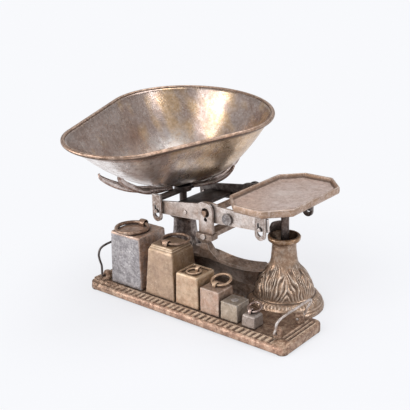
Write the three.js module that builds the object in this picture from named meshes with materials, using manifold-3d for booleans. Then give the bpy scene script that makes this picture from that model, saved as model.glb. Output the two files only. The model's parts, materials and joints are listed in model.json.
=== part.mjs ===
// Cast-iron counter balance: an equal-arm beam on knife edges carries a pouring scoop on the left
// and an eight-sided plate on the right, and a check lever in the base keeps both pans upright.
// Six square weights stand on a tray in front, with a wire bail at each end of it.
// Millimetres. +X runs along the beam to the plate, +Y to the back, +Z up, floor at Z = 0.

import * as THREE from "three";
import { mergeVertices } from "three/addons/utils/BufferGeometryUtils.js";
import Module from "manifold-3d";

const wasm = await Module();
wasm.setup();

// Fits shared by the whole machine
const seatGap = 0.3;
const pinClearance = 0.3;
const cutOverrun = 2;
const degree = Math.PI / 180;

// Beam and its pivots
const armReach = 84.5;
const pivotHeight = 119.5;
const restTilt = 3.5 * degree;
const barMidY = 47.5;
const barThickness = 4;
const barEndOverhang = 8;
const barBelowPivot = 8;
const barEndAbovePivot = 8.5;
const barShoulderAbovePivot = 14.5;
const barShoulderReach = 15;
const barHubRadius = 16.5;
const crossPlateReach = 44;
const crossPlateInset = 9;
const crossPlateThickness = 4;
const balanceTubeRadius = 5.6;
const balanceTubeReach = 32;
const balanceTubeRise = 0.5;
const balancePlugRadius = 7.4;
const balancePlugThickness = 3;
const rivetShankRadius = 1.5;
const rivetHeadRadius = 2.6;
const rivetHeadThickness = 1.1;
const beamRivetReach = 38;

// Knife edges
const fulcrumKnifeHalfWidth = 3.2;
const fulcrumKnifeShoulder = 5;
const fulcrumKnifeHeight = 9;
const endKnifeHalfWidth = 2.5;
const endKnifeShoulder = 3;
const endKnifeHeight = 5.5;
const knifeOverhang = 2.6;

// Fulcrum plates on the bow frames
const fulcrumPlateInnerY = 51;
const fulcrumPlateThickness = 4;
const fulcrumPlateHalfWidth = 11.2;
const fulcrumPlateCrownHeight = 8;
const fulcrumHoleRadius = 6.2;
const fulcrumNotchRadius = 2.6;
const fulcrumNotchDrop = 3.4;
const fulcrumTenonDepth = 6;
const fulcrumScrewRadius = 2;
const fulcrumScrewHeadRadius = 3.6;
const fulcrumScrewHeadThickness = 2;

// Pillars: each stands a little inside its stem's line. Rings give radius and height above the
// floor, or for the upper ones the drop below the mouth
const pillarInset = 1.5;
const pillarReach = armReach - pillarInset;
const pillarMouthDrop = 22.5;
const pillarHeight = pivotHeight - pillarMouthDrop;
const pillarFootRadius = 51.5;
const pillarLowRings = [[51.5, 0], [51.5, 3.9], [49.2, 9.7], [46.1, 14.1], [42, 17.9], [39, 21.8],
  [37.1, 29.1], [34.5, 35.9], [31, 44.1], [25.9, 50], [20.5, 55.3]];
const pillarHighRings = [[18, 34.9], [16.4, 24.2], [15.5, 14.1], [16.7, 9], [20.7, 3.4], [21.3, 0]];
const pillarInnerHighRings = [[18.1, 0], [11, 9.7], [10.5, 13.6], [10.5, 38.8]];
const pillarInnerLowRings = [[21.5, 44.6], [28.9, 34.9], [33.2, 21.3], [44.3, 5.8], [44.3, 0]];
const pillarSegments = 28;
const mouthEarInnerRadius = 17.8;
const mouthEarOuterRadius = 20.8;
const mouthEarRise = 12.5;
const mouthEarRoot = 2;
const mouthEarFrontY = -6;
const mouthEarInset = 7;

// Bow from pillar to pillar, and the bridge on its crown that holds both fulcrum plates
const bowSpringInset = 21;
const bowReach = pillarReach - bowSpringInset;
const bowDepth = 46;
const bowHalfWidth = 7;
const bowThickness = 8;
const bowOuterDrop = 6;
const bowEndDrop = 66.5;
const bowEndHeight = pivotHeight - bowEndDrop;
const bowRise = 13;
const bowCrownRise = 7;
const bowCrownPower = 8;
const bowSteps = 20;
const bowWebThickness = 5;
const crownFootHalfWidth = 17;
const crownWaistHalfWidth = 8;
const crownTopHalfWidth = 5;
const crownFrontY = -58;
const crownBackY = -50;
const crownWaistDrop = 42.5;
const crownTopDrop = 33.5;
const headHalfWidth = 13;
const headShoulderDrop = 28.5;
const headTopDrop = 21.5;
const headWall = 4.5;
const bridgeHalfWidth = 8;
const bridgeBottomDrop = 28;
const crownWaistHeight = pivotHeight - crownWaistDrop;
const crownTopHeight = pivotHeight - crownTopDrop;
const headShoulderHeight = pivotHeight - headShoulderDrop;
const headTopHeight = pivotHeight - headTopDrop;
const bridgeBottomHeight = pivotHeight - bridgeBottomDrop;

// Base plinth and the check lever in it
const plinthHalfDepth = 26;
const plinthHeight = 28;
const plinthWall = 4;
const checkPivotHeight = 15;
const leverThickness = 3;
const leverHalfHeight = 4.5;
const leverEyeRadius = 5;
const leverHubRadius = 7;
const leverPinRadius = 2;
const leverWindowHalfDepth = 8;
const leverWindowHeight = 27;
const leverBracketLength = 34;
const leverBracketFloor = 3;
const leverBracketCheek = 3;
const leverBracketCheekGap = 1;
const leverBracketHeight = 21;

// Weight tray
const trayHalfLength = 162;
const trayFrontY = -116;
const trayBackY = -33;
const trayTopHeight = 14;
const traySkirtLift = 1.5;
const trayBorderTopY = -103;
const trayBorderLowY = -113;
const trayBorderLowHeight = 10.5;
const trayFrontEdgeHeight = 7;
const trayDeckThickness = 6;
const traySkirtWall = 8;
const trayCornerRadius = 8;
const trayFootRadius = 8;
const borderPitch = 8.5;
const borderGrooveWidth = 3;
const borderGrooveDepth = 1.6;
const borderGrooveLean = 4;
const borderEndMargin = 24;

// Bails and their lugs
const bailInset = 20.5;
const bailReach = trayHalfLength - bailInset;
const bailCentreY = -75.5;
const bailPinSpacing = 46;
const bailWireRadius = 1.5;
const leftBailHeight = 44;
const rightBailHeight = 26;
const bailBulge = 36;
const bailLugRadius = 5.5;
const bailPivotLift = 6;
const bailLugHeight = 12;
const rightBailLean = 21 * degree;

// Pan carriers: bracket, hanger links, stem and its lower pin
const linkHalfWidth = 7.5;
const linkThickness = 3.4;
const linkPlay = 1.6;
const linkBelowKnife = 18;
const linkAboveKnife = 19.5;
const linkSlotRadius = 4.4;
const linkSlotLength = 4;
const linkNotchWidth = 2.4;
const linkNotchRise = 4.5;
const bracketHalfWidth = 7;
const bracketBottom = 11.5;
const bracketHeight = 3.2;
const hubRadius = 12;
const leftHubTop = 19;
const rightHubTop = 21;
const stemRadius = 5.2;
const stemBelowPin = 5.5;
const stemSlotAbovePin = 10;
const stemPinRadius = 1.6;

// Scoop: two circles joined by straight sides, seen from above
const scoopBackRadius = 114.7;
const scoopLipRadius = 70.9;
const scoopCircleSpacing = 147.3;
const scoopDepth = 101.5;
const scoopProfilePower = 2.1;
const scoopBottomShift = -8;
const scoopWall = 1.6;
const scoopBeadRadius = 2.2;
const scoopOffsetX = -3.8;
const scoopOffsetY = 26.7;
const scoopHeading = -86.6 * degree;
const scoopPitch = 2.4 * degree;
const scoopRoll = -5.1 * degree;
const scoopBackSteps = 24;
const scoopLipSteps = 12;
const scoopSideSteps = 3;
const scoopLevels = 7;

// Cradle arms: hairpins of round rod under the scoop
const cradleRodRadius = 1.7;
const cradleHairpinHalfGap = 3.6;
const cradleRootLift = 0.2;
const cradleSteps = 12;
const cradleSides = 6;
const cradleBearing = 0.7;
const slopeStep = 0.02;
const bowlRounds = 6;

// Eight-sided plate
const plateHalfLength = 79.1;
const plateHalfWidth = 47.1;
const plateLongSide = 51.9;
const plateShortSide = 20.8;
const plateFloorThickness = 3.5;
const plateRimHeight = 9.6;
const plateRimWall = 3;

// Finishes
const finish = (color, roughness, metalness) =>
  new THREE.MeshStandardMaterial({ color, roughness, metalness });
const castBronzeBrown = () => finish(0x7a6450, 0.5, 0.75);
const darkIron = () => finish(0x3a3330, 0.55, 0.7);
const wornSteel = () => finish(0xa39a90, 0.45, 0.85);
const tinnedScoop = () => finish(0x8d7a68, 0.32, 0.9);
const wornBrass = () => finish(0xb59c7c, 0.5, 0.7);
const greyIron = () => finish(0x8b8583, 0.55, 0.65);

// Closed meshes from rings of points; a ring of one point is a pole
function skin(rings) {
  const position = [];
  const first = [];
  for (const ring of rings) {
    first.push(position.length / 3);
    for (const point of ring) position.push(point.x, point.y, point.z);
  }
  const index = [];
  for (let r = 0; r + 1 < rings.length; r += 1) {
    const low = rings[r].length;
    const high = rings[r + 1].length;
    const count = Math.max(low, high);
    for (let k = 0; k < count; k += 1) {
      const next = (k + 1) % count;
      const a = first[r] + (low === 1 ? 0 : k);
      const b = first[r] + (low === 1 ? 0 : next);
      const c = first[r + 1] + (high === 1 ? 0 : k);
      const d = first[r + 1] + (high === 1 ? 0 : next);
      if (low > 1) index.push(a, b, d);
      if (high > 1) index.push(a, d, c);
    }
  }
  for (const r of [0, rings.length - 1]) {
    const ring = rings[r];
    if (ring.length === 1) continue;
    const middle = new THREE.Vector3();
    for (const point of ring) middle.addScaledVector(point, 1 / ring.length);
    const centre = position.length / 3;
    position.push(middle.x, middle.y, middle.z);
    for (let k = 0; k < ring.length; k += 1) {
      const a = first[r] + k;
      const b = first[r] + ((k + 1) % ring.length);
      if (r === 0) index.push(centre, b, a);
      else index.push(centre, a, b);
    }
  }
  const geometry = new THREE.BufferGeometry();
  geometry.setAttribute("position", new THREE.Float32BufferAttribute(position, 3));
  geometry.setIndex(index);
  return outward(geometry);
}

// Turns a closed mesh's faces outwards when its signed volume is negative
function outward(geometry) {
  const at = geometry.attributes.position;
  const index = geometry.index.array;
  const a = new THREE.Vector3();
  const b = new THREE.Vector3();
  const c = new THREE.Vector3();
  let volume = 0;
  for (let k = 0; k < index.length; k += 3) {
    a.fromBufferAttribute(at, index[k]);
    b.fromBufferAttribute(at, index[k + 1]);
    c.fromBufferAttribute(at, index[k + 2]);
    volume += a.dot(b.cross(c));
  }
  if (volume < 0) {
    for (let k = 0; k < index.length; k += 3) {
      [index[k + 1], index[k + 2]] = [index[k + 2], index[k + 1]];
    }
  }
  return geometry;
}

// Joins and cuts
function plain(geometry) {
  const copy = geometry.clone();
  for (const name of Object.keys(copy.attributes)) {
    if (name !== "position") copy.deleteAttribute(name);
  }
  return mergeVertices(copy);
}

function solid(geometry) {
  const merged = plain(geometry);
  const mesh = new wasm.Mesh({
    numProp: 3,
    vertProperties: new Float32Array(merged.attributes.position.array),
    triVerts: new Uint32Array(merged.index.array),
  });
  return new wasm.Manifold(mesh);
}

function geometryOf(manifold) {
  const mesh = manifold.getMesh();
  const geometry = new THREE.BufferGeometry();
  geometry.setAttribute("position", new THREE.BufferAttribute(mesh.vertProperties, 3));
  geometry.setIndex(new THREE.BufferAttribute(mesh.triVerts, 1));
  return geometry;
}

const join = (...parts) => geometryOf(parts.map(solid).reduce((whole, part) => whole.add(part)));
const cut = (body, ...tools) =>
  geometryOf(tools.map(solid).reduce((rest, tool) => rest.subtract(tool), solid(body)));
const common = (body, keep) => geometryOf(solid(body).intersect(solid(keep)));

// Simple solids placed by their limits or their middle
function block(x0, x1, y0, y1, z0, z1) {
  const geometry = new THREE.BoxGeometry(Math.abs(x1 - x0), Math.abs(y1 - y0), Math.abs(z1 - z0));
  return geometry.translate((x0 + x1) / 2, (y0 + y1) / 2, (z0 + z1) / 2);
}

function rodAlongY(radius, y0, y1, x, z, sides = 16) {
  const geometry = new THREE.CylinderGeometry(radius, radius, Math.abs(y1 - y0), sides);
  return geometry.translate(x, (y0 + y1) / 2, z);
}

function rodAlongX(radius, x0, x1, y, z, sides = 12) {
  const geometry = new THREE.CylinderGeometry(radius, radius, x1 - x0, sides);
  return geometry.rotateZ(Math.PI / 2).translate((x0 + x1) / 2, y, z);
}

function rodUp(radius, z0, z1, x = 0, y = 0, sides = 24) {
  const geometry = new THREE.CylinderGeometry(radius, radius, z1 - z0, sides);
  return geometry.rotateX(Math.PI / 2).translate(x, y, (z0 + z1) / 2);
}

// A flat outline drawn in X and Z, given a thickness along Y about its middle plane
function plateAcross(shape, thickness, middleY, curveSegments = 10) {
  const geometry = new THREE.ExtrudeGeometry(shape, { depth: thickness, bevelEnabled: false, curveSegments });
  return geometry.rotateX(Math.PI / 2).translate(0, middleY + thickness / 2, 0);
}

// A flat outline drawn in X and Y, given a height
function plateUp(shape, z0, z1, curveSegments = 8) {
  const geometry = new THREE.ExtrudeGeometry(shape, { depth: z1 - z0, bevelEnabled: false, curveSegments });
  return geometry.translate(0, 0, z0);
}

function outlineOf(points) {
  return new THREE.Shape(points.map(([x, y]) => new THREE.Vector2(x, y)));
}

// Round wire along points, as one closed body with flat ends
function wire(points, radius, steps, sides) {
  const path = new THREE.CatmullRomCurve3(points, false, "centripetal");
  const section = new THREE.Shape();
  for (let k = 0; k < sides; k += 1) {
    const angle = (k / sides) * 2 * Math.PI;
    const x = radius * Math.cos(angle);
    const y = radius * Math.sin(angle);
    if (k === 0) section.moveTo(x, y);
    else section.lineTo(x, y);
  }
  return new THREE.ExtrudeGeometry(section, { steps, bevelEnabled: false, extrudePath: path });
}

// A turned solid about an upright axis, its closed profile given as [radius, height]
function turned(profile, segments) {
  const points = profile.map(([radius, height]) => new THREE.Vector2(radius, height));
  points.push(points[0].clone());
  return new THREE.LatheGeometry(points, segments).rotateX(Math.PI / 2);
}

const scale = new THREE.Group();

function place(parent, name, geometry, material) {
  const mesh = new THREE.Mesh(plain(geometry), material);
  mesh.name = name;
  parent.add(mesh);
  return mesh;
}

// Knife sections in X and Z, measured from the edge; pad widens one for its seat
function fulcrumKnifeOutline(pad) {
  const half = fulcrumKnifeHalfWidth + pad;
  const top = fulcrumKnifeHeight + pad;
  return outlineOf([[0, -pad], [half, fulcrumKnifeShoulder - pad], [half, top], [-half, top],
    [-half, fulcrumKnifeShoulder - pad]]);
}

function endKnifeOutline(pad) {
  const half = endKnifeHalfWidth + pad;
  const low = -endKnifeHeight - pad;
  return outlineOf([[0, pad], [-half, pad - endKnifeShoulder], [-half, low], [half, low],
    [half, pad - endKnifeShoulder]]);
}

// Beam: two side bars, the cross plate, knives, balance tube with its plug, and rivets
function barOutline() {
  const end = armReach + barEndOverhang;
  const shape = new THREE.Shape();
  shape.moveTo(-end, -barBelowPivot);
  shape.lineTo(end, -barBelowPivot);
  shape.lineTo(end, barEndAbovePivot);
  shape.lineTo(barShoulderReach, barShoulderAbovePivot);
  const crown = Math.acos(barShoulderReach / (barHubRadius + barShoulderReach));
  const lift = barHubRadius + (barShoulderAbovePivot - barEndAbovePivot) / 4;
  shape.quadraticCurveTo(barShoulderReach * Math.sin(crown), lift, 0, lift);
  shape.quadraticCurveTo(-barShoulderReach * Math.sin(crown), lift, -barShoulderReach, barShoulderAbovePivot);
  shape.lineTo(-end, barEndAbovePivot);
  shape.closePath();
  return shape;
}

function beamBar(side) {
  const middle = side * barMidY;
  const deep = barThickness + 2 * cutOverrun;
  const cutters = [plateAcross(fulcrumKnifeOutline(pinClearance), deep, middle)];
  for (const end of [-armReach, armReach]) {
    cutters.push(plateAcross(endKnifeOutline(pinClearance), deep, middle).translate(end, 0, 0));
  }
  const y0 = middle - deep / 2;
  const y1 = middle + deep / 2;
  cutters.push(rodAlongY(rivetShankRadius + pinClearance, y0, y1, -beamRivetReach, 0, 10));
  return cut(plateAcross(barOutline(), barThickness, middle), ...cutters);
}

function beamRivet(side) {
  const face = side * (barMidY + barThickness / 2);
  const tail = side * (barMidY - barThickness / 2);
  const top = face + side * (seatGap + rivetHeadThickness);
  const shank = rodAlongY(rivetShankRadius, tail, top, -beamRivetReach, 0, 10);
  const seat = face + side * seatGap;
  const head = rodAlongY(rivetHeadRadius, seat, top, -beamRivetReach, 0, 12);
  return join(shank, head);
}

const beam = new THREE.Group();
beam.position.set(0, 0, pivotHeight);
beam.rotation.set(0, -restTilt, 0);
scale.add(beam);
place(beam, "beam_front_bar", beamBar(-1), wornSteel());
place(beam, "beam_rear_bar", beamBar(1), darkIron());

const barInnerY = barMidY - barThickness / 2;
const barOuterY = barMidY + barThickness / 2;
const crossPlate = block(-armReach + crossPlateInset, -crossPlateReach + crossPlateInset, seatGap - barInnerY,
  barInnerY - seatGap, -crossPlateThickness / 2, crossPlateThickness / 2);
place(beam, "beam_cross_plate", crossPlate, darkIron());

const fulcrumKnifeLength = 2 * (fulcrumPlateInnerY + fulcrumPlateThickness + knifeOverhang);
place(beam, "fulcrum_knife", plateAcross(fulcrumKnifeOutline(0), fulcrumKnifeLength, 0), wornSteel());

const linkInnerY = barOuterY + linkPlay;
// The end knives are short, one through each bar end, so the stem can pass between them
for (const [endName, end] of [["left", -armReach], ["right", armReach]]) {
  for (const [sideName, side] of [["front", -1], ["rear", 1]]) {
    const length = linkInnerY + linkThickness + knifeOverhang - (barInnerY - knifeOverhang);
    const middle = side * (barInnerY - knifeOverhang + length / 2);
    const knife = plateAcross(endKnifeOutline(0), length, middle).translate(end, 0, 0);
    place(beam, `${endName}_${sideName}_end_knife`, knife, wornSteel());
  }
}

const tube = rodAlongY(balanceTubeRadius, seatGap - barInnerY, barInnerY - seatGap, balanceTubeReach,
  balanceTubeRise, 20);
place(beam, "balance_tube", tube, greyIron());
const plugSeat = -barOuterY - seatGap;
const plug = rodAlongY(balancePlugRadius, plugSeat - balancePlugThickness, plugSeat, balanceTubeReach,
  balanceTubeRise, 24);
place(beam, "balance_plug", plug, greyIron());
place(beam, "front_beam_rivet", beamRivet(-1), wornSteel());
place(beam, "rear_beam_rivet", beamRivet(1), wornSteel());

// Pillars: hollow turned castings that the pan stems pass down
function pillarProfile(pad) {
  const low = pillarLowRings.map(([radius, height]) => [radius + pad, height]);
  const high = pillarHighRings.map(
    ([radius, drop]) => [radius + pad, pillarHeight - drop + (drop ? 0 : pad)]);
  return [...low, ...high];
}

function pillar(side) {
  const inner = [...pillarInnerHighRings.map(([radius, drop]) => [radius, pillarHeight - drop]),
    ...pillarInnerLowRings];
  const shell = turned([...pillarProfile(0), ...inner], pillarSegments).translate(side * pillarReach, 0, 0);
  const window = block(0, side * pillarReach, -leverWindowHalfDepth, leverWindowHalfDepth, -cutOverrun,
    leverWindowHeight);
  return cut(shell, window);
}

// The ear: a curved guard that stands on the mouth's inner side
function mouthEar(side) {
  const low = pillarHeight - mouthEarRoot;
  const high = pillarHeight + mouthEarRise;
  const ring = turned([[mouthEarInnerRadius, low], [mouthEarOuterRadius, low], [mouthEarOuterRadius, high],
    [mouthEarInnerRadius, high]], 2 * pillarSegments).translate(side * pillarReach, 0, 0);
  const innerX = side * (pillarReach - 2 * mouthEarOuterRadius);
  const keep = block(innerX, side * (pillarReach - mouthEarInset), mouthEarFrontY, 2 * mouthEarOuterRadius,
    low - cutOverrun, high + cutOverrun);
  return common(ring, keep);
}

function pillarKeepOut(side) {
  const profile = [[0, -cutOverrun], [pillarFootRadius + seatGap, -cutOverrun], ...pillarProfile(seatGap),
    [0, pillarHeight + seatGap]];
  const points = profile.map(([radius, height]) => new THREE.Vector2(radius, height));
  const whole = new THREE.LatheGeometry(points, pillarSegments).rotateX(Math.PI / 2);
  return whole.translate(side * pillarReach, 0, 0);
}

place(scale, "left_pillar", pillar(-1), castBronzeBrown());
place(scale, "right_pillar", join(pillar(1), mouthEar(1)), castBronzeBrown());

// Base plinth: an upturned trough between the pillars that hides the check lever
function plinth() {
  const body = block(-pillarReach, pillarReach, -plinthHalfDepth, plinthHalfDepth, 0, plinthHeight);
  const hollow = block(-pillarReach - cutOverrun, pillarReach + cutOverrun, plinthWall - plinthHalfDepth,
    plinthHalfDepth - plinthWall, -cutOverrun, plinthHeight - plinthWall);
  return cut(body, hollow, pillarKeepOut(-1), pillarKeepOut(1));
}

place(scale, "base_plinth", plinth(), castBronzeBrown());

// The bow: a band that springs from both pillars, with a web below it and a crown in the middle
function bowTop(angle) {
  return bowEndHeight + bowRise * Math.sin(angle) + bowCrownRise * Math.sin(angle) ** bowCrownPower;
}

function bowBand() {
  const rings = [];
  for (let k = 0; k <= bowSteps; k += 1) {
    const angle = Math.PI * (k / bowSteps);
    const x = -bowReach * Math.cos(angle);
    const y = -bowDepth * Math.sin(angle);
    const top = bowTop(angle);
    const out = new THREE.Vector2(-bowDepth * Math.cos(angle), -bowReach * Math.sin(angle)).normalize();
    const corner = (offset, z) => new THREE.Vector3(x + out.x * offset, y + out.y * offset, z);
    rings.push([
      corner(-bowHalfWidth, top),
      corner(bowHalfWidth, top - bowOuterDrop),
      corner(bowHalfWidth, top - bowOuterDrop - bowThickness / 2),
      corner(-bowHalfWidth, top - bowThickness),
    ]);
  }
  return skin(rings);
}

// The web hangs under the band and leans back to the plinth
function bowWeb() {
  const rings = [];
  for (let k = 1; k < bowSteps; k += 1) {
    const angle = Math.PI * (k / bowSteps);
    const x = -bowReach * Math.cos(angle);
    const y = -bowDepth * Math.sin(angle);
    const top = bowTop(angle) - bowThickness;
    const foot = -Math.min(plinthHalfDepth, bowDepth * Math.sin(angle));
    rings.push([
      new THREE.Vector3(x, y - bowWebThickness / 2, top),
      new THREE.Vector3(x, y + bowWebThickness / 2, top),
      new THREE.Vector3(x, foot + bowWebThickness, plinthHeight + seatGap),
      new THREE.Vector3(x, foot, plinthHeight + seatGap),
    ]);
  }
  return skin(rings);
}

function oblong(half, y0, y1, z) {
  return [[-1, y0], [1, y0], [1, y1], [-1, y1]].map(([side, y]) => new THREE.Vector3(side * half, y, z));
}

function bowCrown() {
  const foot = bowEndHeight + bowRise - bowThickness / 2;
  return skin([
    oblong(crownFootHalfWidth, crownFrontY + bowHalfWidth, crownBackY + bowHalfWidth, foot),
    oblong(crownWaistHalfWidth, crownFrontY + seatGap, crownBackY + bowHalfWidth / 2, crownWaistHeight),
    oblong(crownTopHalfWidth, crownFrontY, crownBackY, crownTopHeight - seatGap),
  ]);
}

place(scale, "fulcrum_bow", cut(join(bowBand(), bowWeb(), bowCrown()), pillarKeepOut(-1), pillarKeepOut(1)),
  castBronzeBrown());

// The bridge: one bar from front to back with a socketed head at each end
const headInnerY = fulcrumPlateInnerY - headWall;
const headOuterY = fulcrumPlateInnerY + fulcrumPlateThickness + headWall;
const screwHeight = headTopHeight - fulcrumTenonDepth / 2;

function bridgeHead(side) {
  return skin([
    oblong(crownTopHalfWidth, -side * crownBackY, -side * crownFrontY, crownTopHeight),
    oblong(headHalfWidth, side * headInnerY, side * headOuterY, headShoulderHeight),
    oblong(headHalfWidth, side * headInnerY, side * headOuterY, headTopHeight),
  ]);
}

function plateSocket(side) {
  const near = side * (fulcrumPlateInnerY - seatGap);
  const far = side * (fulcrumPlateInnerY + fulcrumPlateThickness + seatGap);
  const half = fulcrumPlateHalfWidth + seatGap;
  const seatHeight = headTopHeight - fulcrumTenonDepth - seatGap;
  return block(-half, half, near, far, seatHeight, headTopHeight + cutOverrun);
}

function screwHole(side) {
  return rodAlongY(fulcrumScrewRadius + pinClearance, side * (headInnerY - cutOverrun),
    side * (headOuterY + cutOverrun), 0, screwHeight, 10);
}

const bridgeReachY = headInnerY + headWall / 2;
const bridgeBar = block(-bridgeHalfWidth, bridgeHalfWidth, -bridgeReachY, bridgeReachY,
  bridgeBottomHeight, headTopHeight);
const bridge = cut(join(bridgeBar, bridgeHead(-1), bridgeHead(1)), plateSocket(-1), plateSocket(1),
  screwHole(-1), screwHole(1));
place(scale, "fulcrum_bridge", bridge, castBronzeBrown());

// Fulcrum plates: keyhole plates that the middle knife rests in
function fulcrumPlate(side) {
  const middle = side * (fulcrumPlateInnerY + fulcrumPlateThickness / 2);
  const crown = pivotHeight + fulcrumPlateCrownHeight;
  const half = fulcrumPlateHalfWidth;
  const shape = new THREE.Shape();
  shape.moveTo(-half, headTopHeight - fulcrumTenonDepth);
  shape.lineTo(half, headTopHeight - fulcrumTenonDepth);
  shape.lineTo(half, crown);
  shape.absarc(0, crown, half, 0, Math.PI, false);
  shape.closePath();
  const deep = fulcrumPlateThickness + 2 * cutOverrun;
  const y0 = middle - deep / 2;
  const y1 = middle + deep / 2;
  const holeHeight = pivotHeight + fulcrumHoleRadius - pinClearance;
  return cut(plateAcross(shape, fulcrumPlateThickness, middle),
    rodAlongY(fulcrumHoleRadius, y0, y1, 0, holeHeight, 24),
    rodAlongY(fulcrumNotchRadius, y0, y1, 0, pivotHeight - fulcrumNotchDrop, 12),
    screwHole(side));
}

place(scale, "front_fulcrum_plate", fulcrumPlate(-1), wornSteel());
place(scale, "rear_fulcrum_plate", fulcrumPlate(1), darkIron());

function fulcrumScrew(side) {
  const face = headOuterY + seatGap;
  const top = side * (face + fulcrumScrewHeadThickness);
  const seat = side * face;
  const tail = side * (headInnerY + seatGap);
  return join(rodAlongY(fulcrumScrewRadius, tail, top, 0, screwHeight, 10),
    rodAlongY(fulcrumScrewHeadRadius, seat, top, 0, screwHeight, 12));
}

place(scale, "front_fulcrum_screw", fulcrumScrew(-1), wornSteel());
place(scale, "rear_fulcrum_screw", fulcrumScrew(1), wornSteel());

// Check lever: the lower link that keeps both pans upright, with its bracket and pin
function checkLever() {
  const half = leverThickness / 2;
  const bar = block(-armReach, armReach, -half, half, -leverHalfHeight, leverHalfHeight);
  const parts = [bar, rodAlongY(leverHubRadius, -half, half, 0, 0, 20)];
  const holes = [rodAlongY(leverPinRadius + pinClearance, -half - cutOverrun, half + cutOverrun, 0, 0, 12)];
  for (const end of [-armReach, armReach]) {
    parts.push(rodAlongY(leverEyeRadius, -half, half, end, 0, 16));
    holes.push(rodAlongY(stemPinRadius + pinClearance, -half - cutOverrun, half + cutOverrun, end, 0, 12));
  }
  return cut(join(...parts), ...holes);
}

const lever = new THREE.Group();
lever.position.set(0, 0, checkPivotHeight);
lever.rotation.set(0, -restTilt, 0);
scale.add(lever);
place(lever, "check_lever", checkLever(), darkIron());

const cheekInnerY = leverThickness / 2 + leverBracketCheekGap;
const cheekOuterY = cheekInnerY + leverBracketCheek;

function leverBracket() {
  const half = leverBracketLength / 2;
  const reach = plinthHalfDepth - plinthWall - seatGap;
  const cheekHalf = leverHubRadius + leverBracketCheek;
  const floor = block(-half, half, -reach, reach, 0, leverBracketFloor);
  const rear = block(-cheekHalf, cheekHalf, cheekInnerY, cheekOuterY, 0, leverBracketHeight);
  const front = block(-cheekHalf, cheekHalf, -cheekOuterY, -cheekInnerY, 0, leverBracketHeight);
  const holeReach = cheekOuterY + cutOverrun;
  const hole = rodAlongY(leverPinRadius + pinClearance, -holeReach, holeReach, 0, checkPivotHeight, 12);
  return cut(join(floor, rear, front), hole);
}

place(scale, "check_lever_bracket", leverBracket(), darkIron());
place(scale, "check_lever_pin", rodAlongY(leverPinRadius, -cheekOuterY - leverBracketCheekGap,
  cheekOuterY + leverBracketCheekGap, 0, checkPivotHeight, 12), wornSteel());

// Pan carriers hang on the end knives and are drawn from the knife edge
function hangerLink(side) {
  const middle = side * (linkInnerY + linkThickness / 2);
  const shape = new THREE.Shape();
  shape.moveTo(-linkHalfWidth, linkHalfWidth - linkBelowKnife);
  shape.absarc(0, linkHalfWidth - linkBelowKnife, linkHalfWidth, Math.PI, 2 * Math.PI, false);
  shape.lineTo(linkHalfWidth, linkAboveKnife);
  shape.lineTo(-linkHalfWidth, linkAboveKnife);
  shape.closePath();
  const deep = linkThickness + 2 * cutOverrun;
  const slotTop = pinClearance - linkSlotRadius;
  const slot = new THREE.Shape();
  slot.moveTo(linkSlotRadius, slotTop - linkSlotLength);
  slot.lineTo(linkSlotRadius, slotTop);
  slot.absarc(0, slotTop, linkSlotRadius, 0, Math.PI, false);
  slot.lineTo(-linkSlotRadius, slotTop - linkSlotLength);
  slot.absarc(0, slotTop - linkSlotLength, linkSlotRadius, Math.PI, 2 * Math.PI, false);
  const notchRight = -linkNotchWidth / 2;
  const notch = block(notchRight - linkNotchWidth, notchRight, middle - deep / 2, middle + deep / 2,
    slotTop, linkNotchRise);
  return cut(plateAcross(shape, linkThickness, middle), plateAcross(slot, deep, middle, 6), notch);
}

function carrierBracket(hubTop) {
  const end = linkInnerY - seatGap;
  const barTop = bracketBottom + bracketHeight;
  const bar = block(-bracketHalfWidth, bracketHalfWidth, -end, end, bracketBottom, barTop);
  return join(bar, rodUp(hubRadius, bracketBottom, hubTop));
}

const pinDrop = pivotHeight - checkPivotHeight;

function stem() {
  const slotHalf = leverThickness / 2 + pinClearance;
  const rod = rodUp(stemRadius, -pinDrop - stemBelowPin, bracketBottom - seatGap, 0, 0, 20);
  const slot = block(-stemRadius - cutOverrun, stemRadius + cutOverrun, -slotHalf, slotHalf,
    -pinDrop - stemBelowPin - cutOverrun, -pinDrop + stemSlotAbovePin);
  const bore = rodAlongY(stemPinRadius + pinClearance, -stemRadius - cutOverrun, stemRadius + cutOverrun, 0,
    -pinDrop, 12);
  return cut(rod, slot, bore);
}

const stemPin = () => rodAlongY(stemPinRadius, -stemRadius, stemRadius, 0, -pinDrop, 12);

function carrier(name, side, hubTop) {
  const group = new THREE.Group();
  const rise = side * armReach * Math.sin(restTilt);
  group.position.set(side * armReach * Math.cos(restTilt), 0, pivotHeight + rise);
  scale.add(group);
  place(group, `${name}_bracket`, carrierBracket(hubTop), darkIron());
  place(group, `${name}_front_link`, hangerLink(-1), wornSteel());
  place(group, `${name}_rear_link`, hangerLink(1), wornSteel());
  place(group, `${name}_stem`, stem(), darkIron());
  place(group, `${name}_stem_pin`, stemPin(), wornSteel());
  return group;
}

const leftCarrier = carrier("left", -1, leftHubTop);
const rightCarrier = carrier("right", 1, rightHubTop);

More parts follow.
